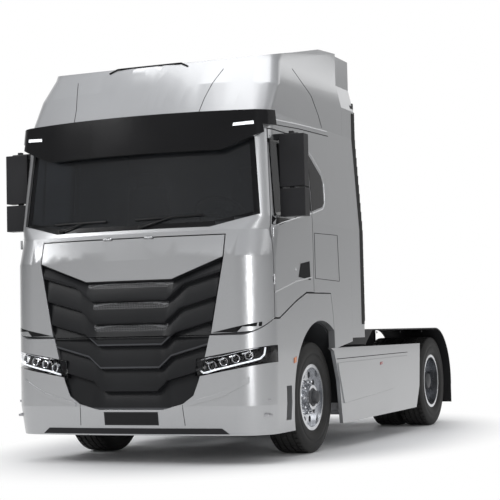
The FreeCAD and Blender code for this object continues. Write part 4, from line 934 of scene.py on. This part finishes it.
# Wipers: two black arms with blades, parked low on the glass.
# Steel arms on pivots in the cowl; each blade is a rubber lip in a folded clip.
screen_faces = panel_tree("windscreen", "cab_frame")
wiper_black = black_plastic("wiper_black", (0.008, 0.008, 0.009), 0.35, 300)
wipers = bmesh.new()
for pivot, tip, blade_ends in (
        ((0.10, 2.035), (0.40, 2.12), ((0.05, 2.108), (0.68, 2.126))),
        ((-0.72, 2.045), (-0.47, 2.112), ((-0.80, 2.112), (-0.24, 2.11)))):
    arm = along_surface(screen_faces, "front", [pivot, tip], 0.022)
    bar_mesh(wipers, arm, 0.0075)
    bar_mesh(wipers, along_surface(screen_faces, "front", blade_ends, 0.016), 0.0085)
    bar_mesh(wipers, along_surface(screen_faces, "front", blade_ends, 0.006), 0.004)
    add_turned(wipers, [(0.0, 0.03), (0.016, 0.028), (0.02, 0.02), (0.022, 0.0)],
               pose_at(on_surface(screen_faces, "front", *pivot), (0, -1, 0.1)), 20)
finish_piece("wipers", wipers, wiper_black, "cab")


# Windscreen and door windows: laminated glass with a cold grey tint.
# The screen is bonded; its black ceramic border hides the glue.
def tinted_glass(name, colour):
    light = tuple(part * 1.25 for part in colour)
    return make_finish(name, (colour, light), (0.015, 0.04), (3.0, 3.0), Transmission_Weight=0.9,
                       Specular_IOR_Level=0.2, IOR=1.45)


soft_panel("windscreen", tinted_glass("screen_glass", (0.08, 0.088, 0.10)), "cab", 0.001, 50)
dress(tinted_glass("window_glass", (0.07, 0.076, 0.085)), "door_glass_left", "door_glass_right")
gloss_black = black_plastic("gloss_black", (0.007, 0.007, 0.008), 0.16, 90)
pane_faces = panel_tree("windscreen")
border = bmesh.new()
half = [(0.0, 1.995), (0.62, 2.004), (0.75, 2.012), (1.10, 2.098), (1.128, 2.13), (1.09, 2.14), (0.75, 2.07),
        (0.0, 2.062)]
strip = [(1.155, 2.13), (1.10, 2.13), (1.035, 2.92), (1.085, 2.92)]
for outline in both_ways(half) + both_ways(strip):
    add_laid(border, pane_faces, "front", outline, 0.0015, 0.0005)
finish_piece("screen_border", border, gloss_black, "cab")

# Door and rear window surround: gloss black panel round the glass, ending in a blunt arrow on the cab side.
# Stuck on the pressed field; the door's part swings with the door. Its lengths count from the front axle.
FRONT_AXLE = -1.65


def from_axle(outline):
    return [(FRONT_AXLE + along, height) for along, height in outline]


SURROUND = from_axle([(-1.092, 2.028), (-0.956, 2.03), (-0.371, 2.165), (-0.168, 2.20), (-0.168, 2.82),
                      (-0.536, 2.824), (-1.092, 2.802)])
PANE = from_axle([(-0.98, 2.135), (-0.30, 2.225), (-0.30, 2.765), (-0.98, 2.765)])
ARROW = from_axle([(-0.142, 2.205), (0.128, 2.262), (0.176, 2.30), (0.190, 2.49), (0.16, 2.55), (-0.142, 2.735)])
BANDS = [SURROUND[:4] + [PANE[1], PANE[0]], SURROUND[3:5] + [PANE[2], PANE[1]],
         SURROUND[4:] + [PANE[3], PANE[2]], [SURROUND[6], SURROUND[0], PANE[0], PANE[3]]]
side_faces = panel_tree("cab_frame")
door_trees = {side: panel_tree(f"door_{side}", f"door_glass_{side}") for side, sign in SIDES}
for side, sign in SIDES:
    laid(f"window_surround_{side}", door_trees[side], side, BANDS, gloss_black, f"{side}_door", 0.003, step=0.08)
    laid(f"window_arrow_{side}", side_faces, side, [ARROW], gloss_black, "cab", 0.003, step=0.08)

# Window guide posts: rubber channels that hold the sliding panes.
# Black rubber, pressed over the flange of each window.
seal_rubber = black_plastic("seal_rubber", (0.012, 0.012, 0.012), 0.6, 260)
for side, sign in SIDES:
    door_faces = panel_tree(f"door_{side}", f"door_glass_{side}", "cab_frame")
    post = along_surface(door_faces, side, [(-2.43, 2.19), (-2.43, 2.76)], 0.003)
    bars(f"window_post_{side}", [post], 0.012, seal_rubber, f"{side}_door")

# Door handles: flush paddles in body colour over a black cup, with a round lock behind them.
# Die-cast paddle on a hidden hinge; the cup is moulded plastic clipped in the panel.
HANDLE_CUP = from_axle([(-0.484, 1.714), (-0.262, 1.743), (-0.247, 1.573), (-0.538, 1.594)])
LOCK_AT = FRONT_AXLE - 0.60
for side, sign in SIDES:
    door_faces = panel_tree(f"door_{side}")
    laid(f"handle_cup_{side}", door_faces, side, [HANDLE_CUP], gap_and_shade_black, f"{side}_door", 0.002, 0.0005, step=0.03)
    skin = on_surface(door_faces, side, LOCK_AT, 1.65).x
    low_x, high_x = sorted((skin - sign * 0.022, skin - sign * 0.004))
    paddle = bmesh.new()
    add_box(paddle, (low_x, FRONT_AXLE - 0.475, 1.645), (high_x, FRONT_AXLE - 0.275, 1.695), 0.006, 3)
    finish_piece(f"handle_paddle_{side}", paddle, silver, f"{side}_door")
    lock = bmesh.new()
    add_turned(lock, [(0, 0.003), (0.006, 0.003), (0.011, 0.0022), (0.012, 0.0)],
               pose_at(on_surface(door_faces, side, LOCK_AT, 1.66), (sign, 0, 0)), 24)
    finish_piece(f"door_lock_{side}", lock, chrome, f"{side}_door")

# Pressed lines of the cab side: a bead round the window panel, the door's low crease and a locker hatch.
# The beads are folded in the panels; the hatch is a flush lid with a rubber seal in its gap.
DOOR_BEAD = from_axle([(-1.10, 2.012), (-0.90, 2.055), (-0.371, 2.147), (-0.172, 2.18)])
DOOR_CREASE = from_axle([(-1.10, 1.45), (-0.61, 1.553), (-0.21, 1.60)])
WINDOW_BEAD = from_axle([(-0.14, 2.186), (0.150, 2.246), (0.215, 2.30), (0.226, 2.49), (0.16, 2.60), (-0.14, 2.775)])
HATCH = from_axle([(-0.118, 2.005), (0.497, 2.017), (0.528, 1.58), (-0.118, 1.592), (-0.118, 2.005)])
BEAD_RADIUS, BEAD_SUNK = 0.008, -0.003
for side, sign in SIDES:
    beads = [along_surface(door_trees[side], side, line, BEAD_SUNK) for line in (DOOR_BEAD, DOOR_CREASE)]
    bars(f"door_beads_{side}", beads, BEAD_RADIUS, silver, f"{side}_door")
    bead = along_surface(side_faces, side, WINDOW_BEAD, BEAD_SUNK)
    bars(f"window_bead_{side}", [bead], BEAD_RADIUS, silver, "cab")
    bars(f"hatch_seal_{side}", [along_surface(side_faces, side, HATCH)], JOIN_RADIUS, gap_and_shade_black, "cab")

# Mirrors: deep plastic shells with a main and a wide-angle glass that face back.
# Silvered glass on heated backing plates, clipped in the shells.
shell_plastic = black_plastic("shell_plastic", (0.02, 0.02, 0.022), 0.38, 420)
mirror_glass = zinc_steel("mirror_glass", (0.82, 0.84, 0.86), 0.09)
wide_pane = [(1.304, 2.10), (1.432, 2.10), (1.432, 2.335), (1.304, 2.335)]
main_pane = [(1.304, 2.385), (1.432, 2.385), (1.432, 2.785), (1.304, 2.785)]
for (side, sign), panes in zip(SIDES, zip(both_ways(wide_pane), both_ways(main_pane))):
    soft_panel(f"mirror_{side}", shell_plastic, f"{side}_door", 0.028, 40, 4)
    laid(f"mirror_glass_{side}", panel_tree(f"mirror_{side}"), "rear", panes, mirror_glass, f"{side}_door", 0.003,
         step=0.1, edge=0.001)

# Sun visor: smoked black panel under the roof, with its lower corners cut and a clear marker lamp at each end.
# Moulded acrylic; each lamp sits in a dark seat on its face.
corner_cuts = [((sign * 0.85, 0, 2.68), (sign * 0.14, 0, -0.34)) for side, sign in SIDES]
soft_panel("sun_visor", gloss_black, "cab", 0.012, 26, 3, corner_cuts)
visor_faces = panel_tree("sun_visor")
seat = [(0.93, 2.872), (1.13, 2.885), (1.125, 2.925), (0.935, 2.912)]
laid("visor_lamp_seats", visor_faces, "front", both_ways(seat), gap_and_shade_black, "cab", 0.0015, step=0.03)
lens = [(0.945, 2.880), (1.12, 2.891), (1.116, 2.919), (0.95, 2.906)]
laid("visor_lamps", visor_faces, "front", both_ways(lens), milky_guide, "cab", 0.0035, 0.001, step=0.03)

# Roof: high moulded roof with seams down its front slope and its sides, and a slot in its brow.
# Glass-fibre moulding bonded to the cab; the slot's black lining is painted shade inside the slot.
roof_faces = panel_tree("roof")
seam = [(0.62, 3.032), (0.64, 3.16), (0.68, 3.3), (0.735, 3.44)]
bars("roof_seams", [along_surface(roof_faces, "front", line) for line in both_ways(seam)], 0.0028, gap_and_shade_black, "cab")
# A black bar along the slot paints the shade inside it.
slot_shade_line = [(-0.395, 3.492), (-0.322, 3.528), (0.322, 3.528), (0.395, 3.492)]
bars("roof_slot_shade", [along_surface(roof_faces, "front", slot_shade_line, 0.002)], 0.009, gap_and_shade_black, "cab")
SIDE_SEAM = from_axle([(-0.303, 3.50), (0.05, 3.29), (0.225, 3.13), (0.30, 3.03)])
for side, sign in SIDES:
    bars(f"roof_side_seam_{side}", [along_surface(roof_faces, side, SIDE_SEAM)], JOIN_RADIUS, gap_and_shade_black, "cab")

# Gutter and fairings: a drip rail over the door with its seal, and a rubber edge and an air slot on each fairing; the
# slot is a dark sheet of painted shade.
# Rolled steel rail in body colour; the rubber is cut in lengths and pushed over the fairing's edge.
DRIP_RAIL = from_axle([(-1.05, 2.948), (-0.3, 2.985), (0.42, 3.006)])
DRIP_SEAL = from_axle([(-1.03, 2.905), (-0.3, 2.945), (0.45, 2.966)])
AIR_SLOT_SHADE = from_axle([(0.52, 2.83), (0.69, 2.85), (0.695, 2.2), (0.67, 2.18), (0.62, 2.64)])
RUBBER_FOOT, RUBBER_LENGTH, RUBBER_COUNT = 1.20, 0.0913, 24
gutter_faces, fairing_faces = panel_tree("cab_frame", "roof"), panel_tree("side_fairings")
edge_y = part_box("side_fairings")[1][1]
band = [(edge_y - 0.078, 1.17), (edge_y - 0.001, 1.17), (edge_y - 0.001, 3.36), (edge_y - 0.078, 3.36)]
for side, sign in SIDES:
    bars(f"drip_rail_{side}", [along_surface(gutter_faces, side, DRIP_RAIL, 0.002)], 0.007, silver, "cab")
    bars(f"drip_seal_{side}", [along_surface(gutter_faces, side, DRIP_SEAL)], 0.004, gap_and_shade_black, "cab")
    rubber_strip = bmesh.new()
    for length in range(RUBBER_COUNT):
        start = RUBBER_FOOT + length * RUBBER_LENGTH
        hit = on_surface(fairing_faces, side, edge_y - 0.02, start + 0.045)
        low_x, high_x = sorted((hit.x - sign * 0.04, hit.x - sign * 0.001))
        add_box(rubber_strip, (low_x, edge_y - 0.001, start), (high_x, edge_y + 0.03, start + 0.0905), 0.004)
    finish_piece(f"fairing_rubber_{side}", rubber_strip, seal_rubber, "cab")
    laid(f"fairing_band_{side}", fairing_faces, side, [band], seal_rubber, "cab", 0.003, step=0.1)
    # The air slot is a thin dark sheet on the fairing: painted shade where the slot's opening is.
    laid(f"air_slot_shade_{side}", fairing_faces, side, [AIR_SLOT_SHADE], gap_and_shade_black, "cab", 0.001, -0.0005, step=0.06)


# Side skirts: painted panels with a raised field, a groove over it drawn as a black line of painted shade, and a red
# marker; the wing has an amber one.
# The markers are small glued lenses with a ribbed inside.
def lamp_lens(name, colour):
    material, tree, shader = new_material(name)
    place = object_place(tree)
    ribs = add_node(tree, "ShaderNodeTexWave", wave_type="BANDS", bands_direction="Z")
    set_sockets(ribs, Scale=60)
    tree.links.new(place, ribs.inputs["Vector"])
    dark = tuple(part * 0.45 for part in colour)
    tree.links.new(ramp(tree, ribs.outputs["Fac"], 0.2, 0.8, dark, colour), shader.inputs["Base Color"])
    set_sockets(shader, Roughness=0.12, Coat_Weight=0.6)
    bump(tree, shader, ribs.outputs["Fac"], 0.4, 0.001)
    return material


red_lens = lamp_lens("red_lens", (0.42, 0.006, 0.008))
amber_lens = lamp_lens("amber_lens", (0.75, 0.18, 0.01))
skirt_faces = panel_tree("side_skirts")
SKIRT_FIELD = [(-1.08, 0.42), (0.46, 0.492), (0.80, 0.60), (0.93, 0.72), (0.985, 0.828), (-1.235, 0.81)]
SKIRT_GROOVE_SHADE = [(-1.25, 0.845), (1.0, 0.862)]
SKIRT_MARKER = [(0.025, 0.752), (0.085, 0.757), (0.092, 0.785), (0.032, 0.780)]
WING_MARKER = from_axle([(-0.70, 0.835), (-0.645, 0.845), (-0.64, 0.895), (-0.695, 0.885)])
for side, sign in SIDES:
    laid(f"skirt_field_{side}", skirt_faces, side, [SKIRT_FIELD], silver, "chassis", 0.012, -0.002, 0.3, edge=0.009)
    # The groove is a black bar on the panel: painted shade in the pressed groove.
    bars(f"skirt_groove_shade_{side}", [along_surface(skirt_faces, side, SKIRT_GROOVE_SHADE)], 0.0035, gap_and_shade_black, "chassis")
    laid(f"skirt_marker_{side}", skirt_faces, side, [SKIRT_MARKER], red_lens, "chassis", 0.006, 0.0095, 0.03,
         edge=0.0015)
    laid(f"wing_marker_{side}", bumper_faces, side, [WING_MARKER], amber_lens, "chassis", 0.006, 0.0, 0.03,
         edge=0.0015)


# Cab inside: grained dashboard with two screens and three vents, and a leather-wrapped steering wheel.
# Injection-moulded panels clipped on a steel beam.
dash_plastic = black_plastic("dash_plastic", (0.05, 0.05, 0.053), 0.6, 420)
dress(dash_plastic, "dashboard", "cab_floor")
dress(black_plastic("wheel_leather", (0.02, 0.02, 0.021), 0.45, 500), "steering_wheel")
low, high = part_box("dashboard")
screens = bmesh.new()
add_box(screens, (0.38, high[1] - 0.1, high[2] - 0.002), (0.74, high[1] - 0.04, high[2] + 0.14), 0.012)
add_box(screens, (-0.05, high[1] - 0.09, high[2] - 0.002), (0.24, high[1] - 0.05, high[2] + 0.12), 0.01)
finish_piece("dash_screens", screens, gloss_black, "cab")
vents = bmesh.new()
for x in (-0.95, -0.55, 0.95):
    for slat in range(5):
        foot = high[2] - 0.18 + slat * 0.026
        add_box(vents, (x - 0.09, high[1] - 0.002, foot), (x + 0.09, high[1] + 0.008, foot + 0.012), 0.002)
finish_piece("dash_vents", vents, black_plastic("vent_black", (0.02, 0.02, 0.02), 0.5, 300), "cab")


# Seats: sprung driver and passenger seats with padded cushion, backrest and headrest, in dark woven cloth.
# Foam under sewn covers; a moulded base with a bellows carries each seat.
def woven_cloth(name, colour):
    dark = tuple(part * 0.7 for part in colour)
    return make_finish(name, (dark, colour), None, (4.0, 3.0), (320, 2.0), (0.5, 0.001), Roughness=0.85,
                       Sheen_Weight=0.3)


seat_cloth = woven_cloth("seat_cloth", (0.05, 0.052, 0.056))


def pad_mesh(low, high, edge, crown):
    """Crowned pad between two corners, with its sides drawn in between its corners."""
    shape = bmesh.new()
    add_box(shape, low, high, edge, 3)
    middle = (Vector(low) + Vector(high)) / 2
    half = (Vector(high) - Vector(low)) / 2
    bmesh.ops.subdivide_edges(shape, edges=[line for line in shape.edges if line.calc_length() > 0.08], cuts=5,
                              use_grid_fill=True)
    for corner in shape.verts:
        share = [(corner.co[axis] - middle[axis]) / half[axis] for axis in range(3)]
        for axis in range(3):
            across = [share[other] for other in range(3) if other != axis]
            full = (1 - across[0] ** 2) * (1 - across[1] ** 2)
            corner.co[axis] -= math.copysign(crown * (1 - full), share[axis]) if abs(share[axis]) > 0.9 else 0
    return shape


PAD_PUSH, PAD_SWELL = 4.0, 0.014


def sewn_pad(name, parts, material, body, voxel=0.015):
    """Pads blown up a little as cloth, capped, and joined into one padded piece."""
    shape = bmesh.new()
    for low, high, edge, crown in parts:
        add_part(shape, pad_mesh(low, high, edge, crown))
    piece = finish_piece(name, shape, material, body, angle=70)
    remesh = piece.modifiers.new("remesh", "REMESH")
    remesh.mode = "VOXEL"
    remesh.voxel_size = voxel
    bpy.context.view_layer.update()
    depsgraph = bpy.context.evaluated_depsgraph_get()
    piece.data = bpy.data.meshes.new_from_object(piece.evaluated_get(depsgraph))
    piece.modifiers.clear()
    rest = [corner.co.copy() for corner in piece.data.vertices]
    cloth = piece.modifiers.new("cloth", "CLOTH")
    cloth.settings.use_pressure = True
    cloth.settings.uniform_pressure_force = PAD_PUSH
    cloth.settings.effector_weights.gravity = 0
    cloth.point_cache.frame_start = 1
    cloth.point_cache.frame_end = 20
    for moment in range(1, 16):
        bpy.context.scene.frame_set(moment)
    depsgraph = bpy.context.evaluated_depsgraph_get()
    blown = bpy.data.meshes.new_from_object(piece.evaluated_get(depsgraph))
    for corner, start in zip(blown.vertices, rest):
        move = corner.co - start
        if move.length > PAD_SWELL:
            corner.co = start + move * (PAD_SWELL / move.length)
    piece.modifiers.clear()
    piece.data = blown
    bpy.context.scene.frame_set(1)
    piece.data.materials.clear()
    piece.data.materials.append(material)
    piece.data.shade_smooth()


base_plastic = black_plastic("base_plastic", (0.03, 0.03, 0.031), 0.55, 360)
for side, sign in SIDES:
    low_x, high_x = sorted((sign * 0.32, sign * 0.80))
    cushion = ((low_x, -2.015, 1.895), (high_x, -1.53, 2.03), 0.035, 0.02)
    back = ((low_x + 0.01, -1.60, 2.02), (high_x - 0.01, -1.465, 2.56), 0.035, 0.02)
    head = ((low_x + 0.1, -1.585, 2.56), (high_x - 0.1, -1.475, 2.71), 0.03, 0.012)
    sewn_pad(f"seat_pads_{side}", [cushion, back, head], seat_cloth, "cab")
FOLDS, FOLD_HIGH = 7, 0.048
bases = bmesh.new()
for side, sign in SIDES:
    add_side_box(bases, sign, (0.40, -1.93, 1.522), (0.72, -1.6, 1.56), 0.01)
    for fold in range(FOLDS):
        inset, foot = 0.018 * (fold % 2), 1.56 + fold * FOLD_HIGH
        add_side_box(bases, sign, (0.42 + inset, -1.9 + inset, foot), (0.70 - inset, -1.63 - inset, foot + 0.05), 0.012)
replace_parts(finish_piece("seat_bases", bases, base_plastic, "cab"), "seats")

# Bunk: foam mattress in a woven cover on a moulded locker with two lids.
# The mattress lies loose on the locker's lip.
bunk_base = bmesh.new()
add_box(bunk_base, (-1.138, -1.385, 1.522), (1.138, -0.85, 1.885), 0.015)
for x in (-0.56, 0.56):
    add_box(bunk_base, (x - 0.5, -1.3875, 1.6), (x + 0.5, -1.384, 1.83), 0.0012)
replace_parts(finish_piece("bunk_locker", bunk_base, base_plastic, "cab"), "bunk")
sewn_pad("bunk_mattress", [((-1.125, -1.37, 1.9), (1.125, -0.865, 2.035), 0.03, 0.012)],
         woven_cloth("bunk_cloth", (0.10, 0.10, 0.105)), "cab", voxel=0.02)

# Back of the cab: pressed ribs and a board with the capped couplings.
# Steel couplings with coloured caps on an aluminium board, riveted to the rear wall.
RIB_PLACES = (-0.9, -0.45, 0.0, 0.45, 0.9)
ribs = [along_surface(side_faces, "rear", [(x, 1.45), (x, 2.75)], step=0.2) for x in RIB_PLACES]
bars("rear_wall_ribs", ribs, 0.012, silver, "cab")
board = bmesh.new()
wall = on_surface(side_faces, "rear", 0.0, 1.3)
add_box(board, (-0.3, wall.y - 0.001, 1.2), (0.3, wall.y + 0.02, 1.4), 0.006)
finish_piece("coupling_board", board, brushed, "cab")
caps_red, caps_yellow, caps_black = bmesh.new(), bmesh.new(), bmesh.new()
for shape, x in ((caps_red, -0.2), (caps_yellow, -0.07), (caps_black, 0.07), (caps_black, 0.2)):
    add_turned(shape, [(0, 0.05), (0.022, 0.048), (0.03, 0.038), (0.03, 0.012), (0.036, 0.01), (0.036, 0.0)],
               pose_at((x, wall.y + 0.019, 1.3), (0, 1, 0)), 28)
finish_piece("air_cap_red", caps_red, lamp_lens("cap_red", (0.4, 0.02, 0.015)), "cab")
finish_piece("air_cap_yellow", caps_yellow, lamp_lens("cap_yellow", (0.6, 0.4, 0.02)), "cab")
finish_piece("plug_caps", caps_black, base_plastic, "cab")

# Rear lamps: red and amber ribbed lenses in a black housing on each rail end.
# The lenses are glued in the housing, which is bolted to the rail.
side_boxes("rear_lamp_housings", [((0.4, 2.78, 0.72), (0.78, 2.85, 0.84))], 0.012, base_plastic, "chassis")
for lens_name, material, spans in (
        ("rear_lamp_red", red_lens, ((0.43, 0.53), (0.655, 0.752))), ("rear_lamp_amber", amber_lens, ((0.54, 0.645),))):
    side_boxes(lens_name, [((start, 2.845, 0.735), (end, 2.858, 0.825)) for start, end in spans], 0.004, material,
               "chassis")
